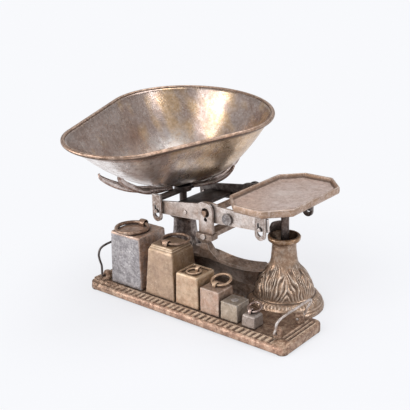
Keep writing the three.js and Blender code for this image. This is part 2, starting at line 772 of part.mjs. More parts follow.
// Scoop outline as seen from above: X towards the lip, Y across; inset shrinks both circles
function scoopOutline(inset) {
  const back = scoopBackRadius - inset;
  const lip = scoopLipRadius - inset;
  const tangent = Math.acos((back - lip) / scoopCircleSpacing);
  const points = [];
  for (let k = 0; k <= scoopBackSteps; k += 1) {
    const angle = tangent + ((2 * Math.PI - 2 * tangent) * k) / scoopBackSteps;
    points.push([back * Math.cos(angle), back * Math.sin(angle)]);
  }
  const lipPoints = [];
  for (let k = 0; k <= scoopLipSteps; k += 1) {
    const angle = -tangent + (2 * tangent * k) / scoopLipSteps;
    lipPoints.push([scoopCircleSpacing + lip * Math.cos(angle), lip * Math.sin(angle)]);
  }
  const side = (from, to) => {
    const between = [];
    for (let k = 1; k < scoopSideSteps; k += 1) {
      const share = k / scoopSideSteps;
      between.push([from[0] + (to[0] - from[0]) * share, from[1] + (to[1] - from[1]) * share]);
    }
    return between;
  };
  const lastBack = points[points.length - 1];
  points.push(...side(lastBack, lipPoints[0]), ...lipPoints);
  points.push(...side(lipPoints[lipPoints.length - 1], points[0]));
  return points;
}

// Bowl surface: the outline shrunk towards the bottom point, sunk by a power of the shrink
function bowlRing(outline, share, depth) {
  const drop = -depth * (1 - share ** scoopProfilePower);
  return outline.map(([x, y]) =>
    new THREE.Vector3(scoopBottomShift + share * (x - scoopBottomShift), share * y, drop));
}

function scoopShell() {
  const outer = scoopOutline(scoopBeadRadius);
  const inner = scoopOutline(scoopBeadRadius + scoopWall);
  const innerDepth = scoopDepth - scoopWall;
  const rings = [[new THREE.Vector3(scoopBottomShift, 0, -scoopDepth)]];
  for (let k = 1; k < scoopLevels; k += 1) {
    rings.push(bowlRing(outer, (k / scoopLevels) ** 0.8, scoopDepth));
  }
  const lift = (inset, z) => scoopOutline(inset).map(([x, y]) => new THREE.Vector3(x, y, z));
  rings.push(lift(scoopBeadRadius, -2 * scoopBeadRadius));
  rings.push(lift(0, -scoopBeadRadius));
  rings.push(lift(scoopBeadRadius / 4, -scoopBeadRadius / 3));
  rings.push(lift(scoopBeadRadius, 0));
  rings.push(lift(scoopBeadRadius + scoopWall, -scoopBeadRadius));
  for (let k = scoopLevels - 1; k > 0; k -= 1) {
    rings.push(bowlRing(inner, (k / scoopLevels) ** 0.8, innerDepth));
  }
  rings.push([new THREE.Vector3(scoopBottomShift, 0, -innerDepth)]);
  return skin(rings);
}

// The scoop stands on the hub: its lowest point clears the hub's top by the seat gap
const scoop = new THREE.Group();
scoop.rotation.set(scoopRoll, scoopPitch, scoopHeading, "ZYX");
scoop.updateMatrix();
const shell = scoopShell();
const lowest = () => {
  const at = shell.attributes.position;
  const point = new THREE.Vector3();
  let low = Infinity;
  for (let k = 0; k < at.count; k += 1) {
    point.fromBufferAttribute(at, k).applyMatrix4(scoop.matrix);
    low = Math.min(low, point.z);
  }
  return low;
};
scoop.position.set(scoopOffsetX, scoopOffsetY, leftHubTop + seatGap - lowest());
scoop.updateMatrix();
leftCarrier.add(scoop);
place(scoop, "scoop", shell, tinnedScoop());

// How far the bowl's rim lies from its bottom point in a direction of the scoop's own frame
function rimReach(direction) {
  const outline = scoopOutline(scoopBeadRadius);
  for (let k = 0; k < outline.length; k += 1) {
    const [ax, ay] = outline[k];
    const [bx, by] = outline[(k + 1) % outline.length];
    const px = ax - scoopBottomShift;
    const ex = bx - ax;
    const ey = by - ay;
    const cross = direction.x * ey - direction.y * ex;
    const along = (px * ey - ay * ex) / cross;
    const share = (px * direction.y - ay * direction.x) / cross;
    if (along > 0 && share >= 0 && share <= 1) return along;
  }
  return scoopBackRadius;
}

// Height of the bowl's outside at a point of the carrier's plan, closed in on by repetition
// because the scoop leans
function bowlHeight(x, y) {
  const turn = scoop.quaternion.clone().invert();
  let height = 0;
  for (let round = 0; round < bowlRounds; round += 1) {
    const local = new THREE.Vector3(x, y, height).sub(scoop.position).applyQuaternion(turn);
    const direction = new THREE.Vector2(local.x - scoopBottomShift, local.y);
    const away = direction.length();
    const share = Math.min(1, away / rimReach(direction.normalize()));
    const wall = new THREE.Vector3(local.x, local.y, -scoopDepth * (1 - share ** scoopProfilePower));
    height = wall.applyMatrix4(scoop.matrix).z;
  }
  return height;
}

// Cradle arms, two to a fork. Each row: heading from +X, reach and height of the tip above the
// root, how far the arm dips past the bracket, and how far it bulges beyond its tip
const cradleForks = {
  left_cradle_fork: [
    { heading: 245 * degree, reach: 89, rise: 31, dip: 3.4, bulge: 4 },
    { heading: 226 * degree, reach: 113, rise: 26, dip: 4.5, bulge: 0 },
  ],
  right_cradle_fork: [
    { heading: 47 * degree, reach: 71.5, rise: 33, dip: 0, bulge: 0 },
    { heading: 69 * degree, reach: 88, rise: 39, dip: 0, bulge: 3 },
  ],
};
const cradleRootHeight = bracketBottom + bracketHeight + cradleRootLift + cradleRodRadius;

function cradleArm({ heading, reach, rise, dip, bulge }) {
  const along = new THREE.Vector3(Math.cos(heading), Math.sin(heading), 0);
  const across = new THREE.Vector3(-Math.sin(heading), Math.cos(heading), 0);
  const root = hubRadius + seatGap + cradleRodRadius;
  const spine = [
    [root, 0],
    [1.7 * root, 0],
    [0.43 * reach, 0.05 * rise - dip],
    [0.62 * reach, 0.1 * rise - dip],
    [0.8 * reach, 0.26 * rise - dip / 2],
    [0.93 * reach + 0.6 * bulge, 0.5 * rise],
    [reach + bulge, 0.76 * rise],
  ];
  const tip = [reach, rise];
  const spot = ([away, height], offset) => {
    const point = new THREE.Vector3().addScaledVector(along, away).addScaledVector(across, offset);
    const bowl = bowlHeight(point.x, point.y);
    const farther = point.clone().multiplyScalar(1 + slopeStep);
    const slope = (bowlHeight(farther.x, farther.y) - bowl) / (slopeStep * point.length());
    const drop = (cradleRodRadius + cradleBearing) * Math.sqrt(1 + slope * slope);
    point.z = Math.min(cradleRootHeight + height, bowl - drop);
    return point;
  };
  const points = spine.map((step) => spot(step, -cradleHairpinHalfGap));
  points.push(spot(tip, -0.6 * cradleHairpinHalfGap));
  points.push(spot(tip, 0.6 * cradleHairpinHalfGap));
  points.push(...spine.map((step) => spot(step, cradleHairpinHalfGap)).reverse());
  return wire(points, cradleRodRadius, 2 * cradleSteps, cradleSides);
}

for (const [name, arms] of Object.entries(cradleForks)) {
  place(leftCarrier, name, join(...arms.map(cradleArm)), darkIron());
}

// Eight-sided plate with a raised rim
function plateOutline(inset) {
  const corner = inset * Math.tan(Math.PI / 8);
  const x = plateHalfWidth - inset;
  const y = plateHalfLength - inset;
  const sx = plateShortSide - corner;
  const sy = plateLongSide - corner;
  return outlineOf([[sx, y], [-sx, y], [-x, sy], [-x, -sy], [-sx, -y], [sx, -y], [x, -sy], [x, sy]]);
}

const plateBottom = rightHubTop + seatGap;
const plateBody = plateUp(plateOutline(0), plateBottom, plateBottom + plateRimHeight);
const plateHollow = plateUp(plateOutline(plateRimWall), plateBottom + plateFloorThickness,
  plateBottom + plateRimHeight + cutOverrun);
place(rightCarrier, "weight_plate", cut(plateBody, plateHollow), wornBrass());

// Weight tray: a skirted deck with a cross-grooved border along its front edge
function trayOutline() {
  const r = trayCornerRadius;
  const x = trayHalfLength;
  const shape = new THREE.Shape();
  shape.moveTo(-x + r, trayFrontY);
  shape.lineTo(x - r, trayFrontY);
  shape.absarc(x - r, trayFrontY + r, r, -Math.PI / 2, 0, false);
  shape.lineTo(x, trayBackY - r);
  shape.absarc(x - r, trayBackY - r, r, 0, Math.PI / 2, false);
  shape.lineTo(-x + r, trayBackY);
  shape.absarc(-x + r, trayBackY - r, r, Math.PI / 2, Math.PI, false);
  shape.lineTo(-x, trayFrontY + r);
  shape.absarc(-x + r, trayFrontY + r, r, Math.PI, 1.5 * Math.PI, false);
  return shape;
}

// Keeps a run of the tray's front section: flat deck, sloping border, rounded lower edge
function traySection() {
  const profile = outlineOf([[trayBackY, traySkirtLift], [trayBackY, trayTopHeight],
    [trayBorderTopY, trayTopHeight], [trayBorderLowY, trayBorderLowHeight], [trayFrontY, trayFrontEdgeHeight],
    [trayFrontY, traySkirtLift]]);
  const length = 2 * trayHalfLength;
  const geometry = new THREE.ExtrudeGeometry(profile, { depth: length, bevelEnabled: false });
  return geometry.rotateX(Math.PI / 2).rotateZ(Math.PI / 2).translate(-trayHalfLength, 0, 0);
}

function borderGrooves() {
  const grooves = [];
  const from = -trayHalfLength + borderEndMargin;
  const count = Math.floor((2 * trayHalfLength - 2 * borderEndMargin) / borderPitch);
  for (let k = 0; k < count; k += 1) {
    const x = from + k * borderPitch;
    const y0 = trayBorderLowY + seatGap;
    const y1 = trayBorderTopY - seatGap;
    const slope = (trayTopHeight - trayBorderLowHeight) / (trayBorderTopY - trayBorderLowY);
    const ring = (y) => {
      const z = trayTopHeight + (y - trayBorderTopY) * slope;
      const shift = x + ((y - y0) / (y1 - y0)) * borderGrooveLean;
      return [
        new THREE.Vector3(shift, y, z + borderGrooveDepth),
        new THREE.Vector3(shift + borderGrooveWidth, y, z + borderGrooveDepth),
        new THREE.Vector3(shift + borderGrooveWidth, y, z - borderGrooveDepth),
        new THREE.Vector3(shift, y, z - borderGrooveDepth),
      ];
    };
    grooves.push(skin([ring(y0), ring(y1)]));
  }
  return join(...grooves);
}

function weightTray() {
  const body = common(plateUp(trayOutline(), 0, trayTopHeight + cutOverrun, 6), traySection());
  const wall = traySkirtWall;
  const hollow = block(wall - trayHalfLength, trayHalfLength - wall, trayFrontY + wall, trayBackY - wall,
    -cutOverrun, trayTopHeight - trayDeckThickness);
  const corner = trayHalfLength - trayCornerRadius;
  const feet = [];
  for (const x of [-corner, corner]) {
    for (const y of [trayFrontY + trayCornerRadius, trayBackY - trayCornerRadius]) {
      feet.push(rodUp(trayFootRadius, 0, trayTopHeight - trayDeckThickness / 2, x, y, 16));
    }
  }
  const shaped = join(cut(body, hollow, borderGrooves()), ...feet);
  return cut(shaped, pillarKeepOut(-1), pillarKeepOut(1));
}

place(scale, "weight_tray", weightTray(), castBronzeBrown());

// Bail lugs and bails
function bailLug(side, end) {
  const x = side * bailReach;
  const y = bailCentreY + end * bailPinSpacing / 2;
  const bottom = trayTopHeight + seatGap;
  const shoulder = bottom + bailLugHeight - bailLugRadius / 2;
  const post = turned([[0, bottom], [1.12 * bailLugRadius, bottom],
    [bailLugRadius, bottom + bailLugHeight / 4],
    [bailLugRadius, shoulder], [0.7 * bailLugRadius, bottom + 0.96 * bailLugHeight],
    [0, bottom + bailLugHeight]], 14).translate(x, y, 0);
  const hole = rodAlongY(bailWireRadius + pinClearance, y - 2 * bailLugRadius, y + 2 * bailLugRadius, x,
    trayTopHeight + bailPivotLift, 10);
  return cut(post, hole);
}

function bail(side, height, lean) {
  const pin = bailPinSpacing / 2;
  const half = [
    [pin - 1.2 * bailLugRadius, 0],
    [pin, 0],
    [pin + 1.2 * bailLugRadius, 0],
    [pin + 1.2 * bailLugRadius + 2 * bailWireRadius, 2 * bailWireRadius],
    [0.9 * bailBulge, 0.36 * height],
    [0.98 * bailBulge, 0.6 * height],
    [bailBulge, 0.78 * height],
    [0.88 * bailBulge, 0.94 * height],
    [0.56 * bailBulge, height],
  ];
  const points = half.map(([y, z]) => new THREE.Vector3(0, -y, z));
  points.push(new THREE.Vector3(0, 0, height));
  points.push(...half.map(([y, z]) => new THREE.Vector3(0, y, z)).reverse());
  const geometry = wire(points, bailWireRadius, 34, 6);
  return geometry.rotateY(lean).translate(side * bailReach, bailCentreY, trayTopHeight + bailPivotLift);
}

place(scale, "left_front_bail_lug", bailLug(-1, -1), castBronzeBrown());
place(scale, "left_rear_bail_lug", bailLug(-1, 1), castBronzeBrown());
place(scale, "right_front_bail_lug", bailLug(1, -1), castBronzeBrown());
place(scale, "right_rear_bail_lug", bailLug(1, 1), castBronzeBrown());
place(scale, "left_bail", bail(-1, leftBailHeight, 0), darkIron());
place(scale, "right_bail", bail(1, rightBailHeight, rightBailLean), greyIron());

// Weights: tapered square bodies with bevelled tops, in a row from the tray's left end. gap is
// the space before each one, edge and crown are widths, and heights are above the tray. A ring's
// lug is at its back or front, offset from the middle, and setback is the ring's middle
const weights = [
  { name: "largest", gap: 31.9, foot: 55.4, edge: 51.6, edgeHeight: 72, crown: 49.6, crownHeight: 73.2,
    ring: { radius: 21.5, wire: 2.6, lug: 1, lugWidth: 10, offset: -4, setback: 21.8 } },
  { name: "second", gap: 7.7, foot: 50, edge: 41.5, edgeHeight: 61, crown: 34, crownHeight: 69,
    ring: { radius: 18, wire: 2.1, lug: -1, lugWidth: 9, offset: 3, setback: 32.8 } },
  { name: "third", gap: 1.9, foot: 38, edge: 35.6, edgeHeight: 40, crown: 32, crownHeight: 43,
    ring: { radius: 8.8, wire: 1.5, lug: 1, lugWidth: 5.4, offset: 0, setback: 16.6 },
    recess: { half: 13.6, depth: 2 } },
  { name: "fourth", gap: 3.1, foot: 30, edge: 29.4, edgeHeight: 32, crown: 27, crownHeight: 33,
    ring: { radius: 12.2, wire: 1.7, lug: -1, lugWidth: 5.6, offset: 0, setback: 25.8, lean: 13 * degree } },
  { name: "fifth", gap: 2.4, foot: 25.6, edge: 25.2, edgeHeight: 23, crown: 24, crownHeight: 23.6 },
  { name: "smallest", gap: 6.3, foot: 19.4, edge: 18.2, edgeHeight: 13.6, crown: 14, crownHeight: 16,
    ring: { radius: 8.3, wire: 1.5, lug: -1, lugWidth: 4.6, offset: -1, setback: 16.6, lean: 20 * degree } },
];
const weightFrontInset = 14.2;
const lugWall = 1.9;
const lugPlay = 1;
const plugRadius = 4.6;
const plugDepth = 4;

function squareRing(half, x, y, z) {
  return [[1, 1], [-1, 1], [-1, -1], [1, -1]].map(([sx, sy]) =>
    new THREE.Vector3(x + sx * half, y + sy * half, z));
}

let rowX = -trayHalfLength;
for (const weight of weights) {
  rowX += weight.gap + weight.foot / 2;
  const x = rowX;
  rowX += weight.foot / 2;
  const base = trayTopHeight + seatGap;
  const frontY = trayFrontY + weightFrontInset;
  const y = frontY + weight.foot / 2;
  const crownTop = base + weight.crownHeight;
  let body = skin([
    squareRing(weight.foot / 2, x, y, base),
    squareRing(weight.edge / 2, x, y, base + weight.edgeHeight),
    squareRing(weight.crown / 2, x, y, crownTop),
  ]);
  if (weight.recess) {
    const { half, depth } = weight.recess;
    body = cut(body, block(x - half, x + half, y - half, y + half, crownTop - depth, crownTop + cutOverrun));
  }
  if (weight.ring) {
    const { radius, wire: thick, lug, lugWidth, offset, setback, lean = 0 } = weight.ring;
    const seat = crownTop - (weight.recess ? weight.recess.depth : 0);
    const wireHeight = seat + seatGap + thick;
    const lugX = x + offset;
    const lugY = frontY + setback + lug * radius;
    const half = thick + lugPlay + lugWall;
    const ear = block(lugX - lugWidth / 2, lugX + lugWidth / 2, lugY - half, lugY + half, seat - cutOverrun,
      wireHeight + half);
    const hole = rodAlongX(thick + lugPlay, lugX - lugWidth, lugX + lugWidth, lugY, wireHeight);
    body = cut(join(body, ear), hole);
    const ring = new THREE.TorusGeometry(radius, thick, 6, 24).translate(0, -lug * radius, 0);
    ring.rotateX(-lug * lean).translate(lugX, lugY, wireHeight);
    const ringFinish = weight.name === "largest" ? castBronzeBrown() : wornBrass();
    place(scale, `ring_of_${weight.name}_weight`, ring, ringFinish);
  } else {
    const pocket = rodUp(plugRadius + pinClearance, crownTop - plugDepth, crownTop + cutOverrun, x, y, 16);
    body = cut(body, pocket);
    place(scale, `plug_of_${weight.name}_weight`,
      rodUp(plugRadius, crownTop - plugDepth + seatGap, crownTop + seatGap, x, y, 16), greyIron());
  }
  place(scale, `${weight.name}_weight`, body, weight.name === "largest" ? greyIron() : wornBrass());
}

export default scale;
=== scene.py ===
"""The looks of a cast-iron counter balance with a pouring scoop, an eight-sided plate and six weights.

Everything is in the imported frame: +X along the beam to the plate, +Y to the back, +Z up. Sizes are kept
in millimetres and become metres when a piece is made.
"""

import json
import logging
import math
from collections.abc import Sequence
from dataclasses import dataclass
from enum import Enum

import bmesh
import bpy
import numpy as np
from mathutils import Matrix, Vector

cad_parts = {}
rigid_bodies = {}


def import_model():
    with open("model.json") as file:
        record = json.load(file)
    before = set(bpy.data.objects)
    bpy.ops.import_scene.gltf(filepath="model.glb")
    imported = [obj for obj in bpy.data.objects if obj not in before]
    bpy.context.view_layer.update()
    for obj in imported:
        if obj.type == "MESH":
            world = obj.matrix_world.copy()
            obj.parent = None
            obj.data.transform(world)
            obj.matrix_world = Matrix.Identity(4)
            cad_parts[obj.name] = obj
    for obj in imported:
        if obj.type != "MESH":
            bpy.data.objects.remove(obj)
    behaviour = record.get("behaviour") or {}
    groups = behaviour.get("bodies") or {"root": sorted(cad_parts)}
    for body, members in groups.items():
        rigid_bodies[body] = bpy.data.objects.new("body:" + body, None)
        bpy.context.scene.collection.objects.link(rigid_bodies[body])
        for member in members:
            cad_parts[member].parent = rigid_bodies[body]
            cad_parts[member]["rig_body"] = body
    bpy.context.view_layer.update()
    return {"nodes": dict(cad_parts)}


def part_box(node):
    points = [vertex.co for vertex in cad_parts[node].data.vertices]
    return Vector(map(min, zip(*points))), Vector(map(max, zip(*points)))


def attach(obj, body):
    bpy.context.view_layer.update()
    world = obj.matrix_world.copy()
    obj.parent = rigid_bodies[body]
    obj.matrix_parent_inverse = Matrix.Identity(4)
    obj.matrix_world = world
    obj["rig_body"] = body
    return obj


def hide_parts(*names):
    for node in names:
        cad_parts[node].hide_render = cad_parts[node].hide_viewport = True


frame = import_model()

log = logging.getLogger("balance")
MM = 0.001
TURN = 2 * np.pi
SHARP_EDGE = math.radians(30)
CAD_MERGE = 2e-6
POINT_MERGE = 1e-7
FLAT_DEGREES = 0.6
Array = np.ndarray
Colour = tuple[float, float, float]
Line = tuple[tuple[float, float], ...]
Marks = dict[str, Array]
Piece = bpy.types.Object
Socket = bpy.types.NodeSocket


# Numbers and outlines


def smoothstep(low: float, high: float, value: Array) -> Array:
    """A smooth rise from 0 at low to 1 at high: three times the share's square less twice its cube."""
    t = np.clip((value - low) / (high - low), 0, 1)
    return t * t * (3 - 2 * t)


def hump(value: Array, middle: float, width: float) -> Array:
    """A bell: 1 at the middle, falling with the square of the distance counted in widths."""
    return np.exp(-(((value - middle) / width) ** 2))


def noise3(points: Array, scale: float, seed: int) -> Array:
    """Smooth made-up unevenness from about -1 to 1: the mean of sines along eight fixed random directions.

    Args:
        points: positions, the last axis X, Y, Z.
        scale: about how long one wave is.
        seed: which set of directions.

    Returns:
        A value for each position.
    """
    random = np.random.default_rng(seed)
    directions = random.normal(size=(8, 3)) * TURN / scale
    phases = random.uniform(0, TURN, 8)
    return np.sin(points @ directions.T + phases).mean(-1) * 1.8


def once_round(count: int) -> Array:
    """Angles in even steps once round."""
    return np.linspace(0, TURN, count, endpoint=False)


def section(sides: int, power: float = 1.0) -> tuple[Array, Array]:
    """Cosine and sine once round, each raised to a power with its sign kept: 1 is round and less is squarer."""
    c, s = (np.sign(v) * np.abs(v) ** power for v in (np.cos(once_round(sides)), np.sin(once_round(sides))))
    return c, s


def evened(line: Array, count: int, closed: bool = False) -> Array:
    """Samples evenly spread along a line's length, without the last one where the line is closed.

    Args:
        line: positions along it.
        count: number of samples.
        closed: whether the line ends where it starts.

    Returns:
        The samples.
    """
    along = np.concatenate([[0], np.cumsum(np.linalg.norm(np.diff(line, axis=0), axis=1))])
    even = np.linspace(0, along[-1], count, endpoint=not closed)
    return np.stack([np.interp(even, along, values) for values in line.T], -1)


def spline(points: Sequence[Sequence[float]], count: int) -> Array:
    """A smooth curve through points, by the cubic that takes each point's slope from its neighbours.

    Args:
        points: positions to pass through.
        count: number of samples, evenly spread along the curve's length.

    Returns:
        The samples.
    """
    knots = np.asarray(points, float)
    padded = np.concatenate([2 * knots[:1] - knots[1:2], knots, 2 * knots[-1:] - knots[-2:-1]])
    t = np.linspace(0, len(knots) - 1 - 1e-9, 12 * len(knots))
    k = t.astype(int)
    f = (t - k)[:, None]
    a, b, c, d = (padded[k + step] for step in range(4))
    fine = 0.5 * (2 * b + (c - a) * f + (2 * a - 5 * b + 4 * c - d) * f**2 + (3 * b - a - 3 * c + d) * f**3)
    return evened(fine, count)


def raised(plan: Array, height: Array) -> Array:
    """Adds a height to each row of points that have only X and Y."""
    return np.concatenate([plan, np.broadcast_to(height[:, None, None], (*plan.shape[:2], 1))], -1)


def turned(x: float, y: float, radius: Array, angle: Array, height: Array) -> Array:
    """Points at a radius, an angle and a height about an upright axis through X and Y."""
    return np.stack(np.broadcast_arrays(x + radius * np.cos(angle), y + radius * np.sin(angle), height), -1)


def tube(path: Array, radius: float | Array, sides: int, widen: float = 1.0, square: float = 1.0) -> Array:
    """Rings of a tube about a path that lies in one plane: each ring is square to the path's slope there.

    Args:
        path: positions along the middle.
        radius: the tube's radius, or one for each position.
        sides: points in a ring.
        widen: how many times wider the section is across the path's plane.
        square: power of the section's sine and cosine: 1 is round and less is squarer.

    Returns:
        Ring points in rows and columns.
    """
    slope = np.gradient(path, axis=0)
    slope /= np.linalg.norm(slope, axis=1, keepdims=True)
    across = np.linalg.svd(path - path.mean(0))[2][2]
    side = np.cross(slope, across)
    side /= np.linalg.norm(side, axis=1, keepdims=True)
    c, s = section(sides, square)
    reach = np.broadcast_to(np.asarray(radius, float), (len(path),))[:, None, None]
    return path[:, None] + reach * (c[None, :, None] * side[:, None] + widen * s[None, :, None] * across)


# Meshes


def add_object(name: str, data: bpy.types.ID) -> bpy.types.Object:
    """Puts data in the scene as an object at the origin.

    Args:
        name: the object's name.
        data: its mesh, lamp or camera.

    Returns:
        The object.
    """
    thing = bpy.data.objects.new(name, data)
    bpy.context.scene.collection.objects.link(thing)
    return thing


def keep_mark(mesh: bpy.types.Mesh, name: str, values: Array) -> None:
    """Keeps a value on each point of a mesh, for the materials."""
    data = mesh.attributes.new(name, "FLOAT", "POINT").data
    data.foreach_set("value", np.asarray(values, np.float32).reshape(-1))


def new_piece(name: str, points: Array, faces: Array, smooth: bool = True, marks: Marks | None = None) -> Piece:
    """Makes a mesh object at the origin, with doubled points merged and faces outwards.

    Args:
        name: the piece's name.
        points: array of positions, the last axis X, Y, Z.
        faces: corner numbers of each face.
        smooth: whether its faces shade smoothly.
        marks: values kept on the points for the materials, by name.

    Returns:
        The new object.
    """
    mesh = bpy.data.meshes.new(name)
    mesh.from_pydata(points.reshape(-1, 3).tolist(), [], faces.tolist())
    for mark, values in (marks or {}).items():
        keep_mark(mesh, mark, values)
    work = bmesh.new()
    work.from_mesh(mesh)
    bmesh.ops.remove_doubles(work, verts=work.verts, dist=POINT_MERGE)
    bmesh.ops.recalc_face_normals(work, faces=work.faces)
    work.to_mesh(mesh)
    work.free()
    mesh.polygons.foreach_set("use_smooth", np.full(len(mesh.polygons), smooth))
    return add_object(name, mesh)


def surface(name: str, points: Array, wrap_rows: bool = False, marks: Marks | None = None) -> Piece:
    """A closed surface of quads over rows of points, each row closed on itself.

    Args:
        name: the piece's name.
        points: positions in millimetres, in rows and columns.
        wrap_rows: whether the last row joins the first. Otherwise both end rows are drawn in to a point.
        marks: values at the same rows and columns, by name.

    Returns:
        The new object.
    """
    marks = {key: np.broadcast_to(values, points.shape[:2]) for key, values in (marks or {}).items()}
    if not wrap_rows:
        low, high = (np.broadcast_to(row.mean(0), row.shape)[None] for row in (points[0], points[-1]))
        points = np.concatenate([low, points, high])
        marks = {key: np.concatenate([values[:1], values, values[-1:]]) for key, values in marks.items()}
    rows, columns = points.shape[:2]
    r = np.arange(rows if wrap_rows else rows - 1)[:, None]
    c = np.arange(columns)[None, :]
    r2, c2 = (r + 1) % rows, (c + 1) % columns
    faces = np.stack((r * columns + c, r * columns + c2, r2 * columns + c2, r2 * columns + c), -1)
    return new_piece(name, points * MM, faces.reshape(-1, 4), marks=marks)


def crease_by_angle(piece: Piece, angle: float) -> None:
    """Shades a piece smoothly, but keeps edges sharper than an angle."""
    piece.data.polygons.foreach_set("use_smooth", np.full(len(piece.data.polygons), True))
    piece.data.set_sharp_from_angle(angle=angle)


def joined_copy(node: str, name: str, flat: float, swell: float = 0.0) -> Piece:
    """A copy of a CAD node with its doubled points merged and its flat triangles joined into faces.

    Args:
        node: the CAD node.
        name: the new piece's name.
        flat: the angle in degrees under which faces count as flat.
        swell: how far each point moves out along its normal, in metres.

    Returns:
        The new object.
    """
    mesh = frame["nodes"][node].data.copy()
    mesh.name = name
    work = bmesh.new()
    work.from_mesh(mesh)
    bmesh.ops.remove_doubles(work, verts=work.verts, dist=CAD_MERGE)
    if swell:
        work.normal_update()
    bmesh.ops.dissolve_limit(work, angle_limit=math.radians(flat), verts=work.verts, edges=work.edges)
    for vertex in work.verts if swell else ():
        vertex.co += vertex.normal * swell
    work.to_mesh(mesh)
    work.free()
    return add_object(name, mesh)


def eased_copy(node: str, name: str, width: float) -> Piece:
    """A copy of a CAD node with every hard edge rounded off.

    Args:
        node: the CAD node.
        name: the new piece's name.
        width: how far the rounding reaches, in metres.

    Returns:
        The new object.
    """
    piece = joined_copy(node, name, FLAT_DEGREES)
    crease_by_angle(piece, SHARP_EDGE)
    bevel = piece.modifiers.new("eased", "BEVEL")
    bevel.width = width
    bevel.segments = 2
    bevel.limit_method = "ANGLE"
    bevel.angle_limit = SHARP_EDGE
    bevel.harden_normals = True
    return piece


# Materials


class Group(Enum):
    """The shader node groups shared by the finishes."""

    PATINA = "aged_patina"
    WEAR_AND_LIGHT = "wear_and_painted_light"


class NodeDesk:
    """Adds and joins shader nodes in one node tree."""

    def __init__(self, tree: bpy.types.NodeTree) -> None:
        """Keeps the tree that nodes go into."""
        self.tree = tree

    @classmethod
    def cleared(cls, owner: bpy.types.Material | bpy.types.World) -> "NodeDesk":
        """Empties the node tree of a material or the world, for new nodes.

        Args:
            owner: the material or the world.

        Returns:
            A desk for its tree.
        """
        owner.use_nodes = True
        owner.node_tree.nodes.clear()
        return cls(owner.node_tree)

    def add(self, kind: str, settings: dict[str, object] | None = None, **inputs: object) -> bpy.types.Node:
        """Adds a node, with its settings, and its inputs set or linked.

        Args:
            kind: the node's type name.
            settings: attributes of the node.
            inputs: socket name, spaces written as underscores, to a value or an output socket.

        Returns:
            The node.
        """
        node = self.tree.nodes.new(kind)
        for key, value in (settings or {}).items():
            setattr(node, key, value)
        for key, value in inputs.items():
            self.set(node, key.replace("_", " "), value)
        return node

    def set(self, node: bpy.types.Node, key: str | int, value: object) -> None:
        """Links an output socket to one input of a node, or sets the input to a plain value.

        Args:
            node: the node.
            key: the input's name or number.
            value: a plain value or an output socket.
        """
        socket = node.inputs[key]
        if isinstance(value, Socket):
            self.tree.links.new(value, socket)
        else:
            socket.default_value = (*value, 1.0) if socket.type == "RGBA" else value

    def joined(self, kind: str, settings: dict[str, object], inputs: dict[str | int, object],
               output: str | int = 0) -> Socket:
        """Adds a node whose inputs are named or numbered, and gives one output.

        Args:
            kind: the node's type name.
            settings: attributes of the node.
            inputs: plain values or output sockets, by name or number.
            output: the output's name or number.

        Returns:
            That output.
        """
        node = self.add(kind, settings)
        for key, value in inputs.items():
            self.set(node, key, value)
        return node.outputs[output]

    def math(self, operation: str, first: object, second: object, hold: bool = True) -> Socket:
        """One sum of two values, held between 0 and 1 unless told otherwise."""
        return self.joined("ShaderNodeMath", {"operation": operation, "use_clamp": hold}, {0: first, 1: second})

    def times(self, first: object, second: object) -> Socket:
        """The product of two values, held between 0 and 1."""
        return self.math("MULTIPLY", first, second)

    def ramp(self, value: object, low: float, high: float, to_low: float = 0.0, to_high: float = 1.0) -> Socket:
        """Stretches a value from the range low to high into the range to_low to to_high, held at its ends."""
        return self.joined("ShaderNodeMapRange", {"clamp": True}, {
            "Value": value, "From Min": low, "From Max": high, "To Min": to_low, "To Max": to_high}, "Result")

    def mix(self, factor: object, first: object, second: object) -> Socket:
        """Mixes two colours, by how much of the second."""
        return self.joined("ShaderNodeMix", {"data_type": "RGBA"}, {0: factor, 6: first, 7: second}, 2)

    def blend(self, factor: object, first: bpy.types.Node, second: bpy.types.Node) -> Socket:
        """Mixes two shaders, by how much of the second."""
        return self.joined("ShaderNodeMixShader", {}, {0: factor, 1: first.outputs[0], 2: second.outputs[0]})

    def moved(self, vector: object, shift: Sequence[float]) -> Socket:
        """Coordinates moved by a fixed shift, for a second noise unlike the first."""
        return self.joined("ShaderNodeVectorMath", {"operation": "ADD"}, {0: vector, 1: shift})

    def mark(self, name: str) -> Socket:
        """The value of a mark kept on the piece's points, 0 where it has none."""
        return self.add("ShaderNodeAttribute", {"attribute_name": name}).outputs["Fac"]

    def noise(self, vector: object, scale: object, detail: float, roughness: float) -> Socket:
        """Fractal noise of so many waves to a metre, its octaves, and the strength of the finer ones."""
        node = self.add("ShaderNodeTexNoise", Vector=vector, Scale=scale, Detail=detail, Roughness=roughness)
        return node.outputs["Fac"]

    def place(self) -> Socket:
        """The Object coordinates."""
        return self.add("ShaderNodeTexCoord").outputs["Object"]


def start_group(kind: Group, numbers: Sequence[str],
                outputs: Sequence[str]) -> tuple[NodeDesk, dict[str, Socket], bpy.types.Node]:
    """Opens a new shader node group that takes coordinates and numbers and gives out values.

    Args:
        kind: which group.
        numbers: names of the inputs that are numbers.
        outputs: names of the outputs, all of them numbers.

    Returns:
        The desk for the group, its inputs by name, and its output node.
    """
    tree = bpy.data.node_groups.new(kind.value, "ShaderNodeTree")
    tree.interface.new_socket("Vector", in_out="INPUT", socket_type="NodeSocketVector")
    for way, names in (("INPUT", numbers), ("OUTPUT", outputs)):
        for name in names:
            tree.interface.new_socket(name, in_out=way, socket_type="NodeSocketFloat")
    desk = NodeDesk(tree)
    given = desk.add("NodeGroupInput")
    return desk, {name: given.outputs[name] for name in ("Vector", *numbers)}, desk.add("NodeGroupOutput")


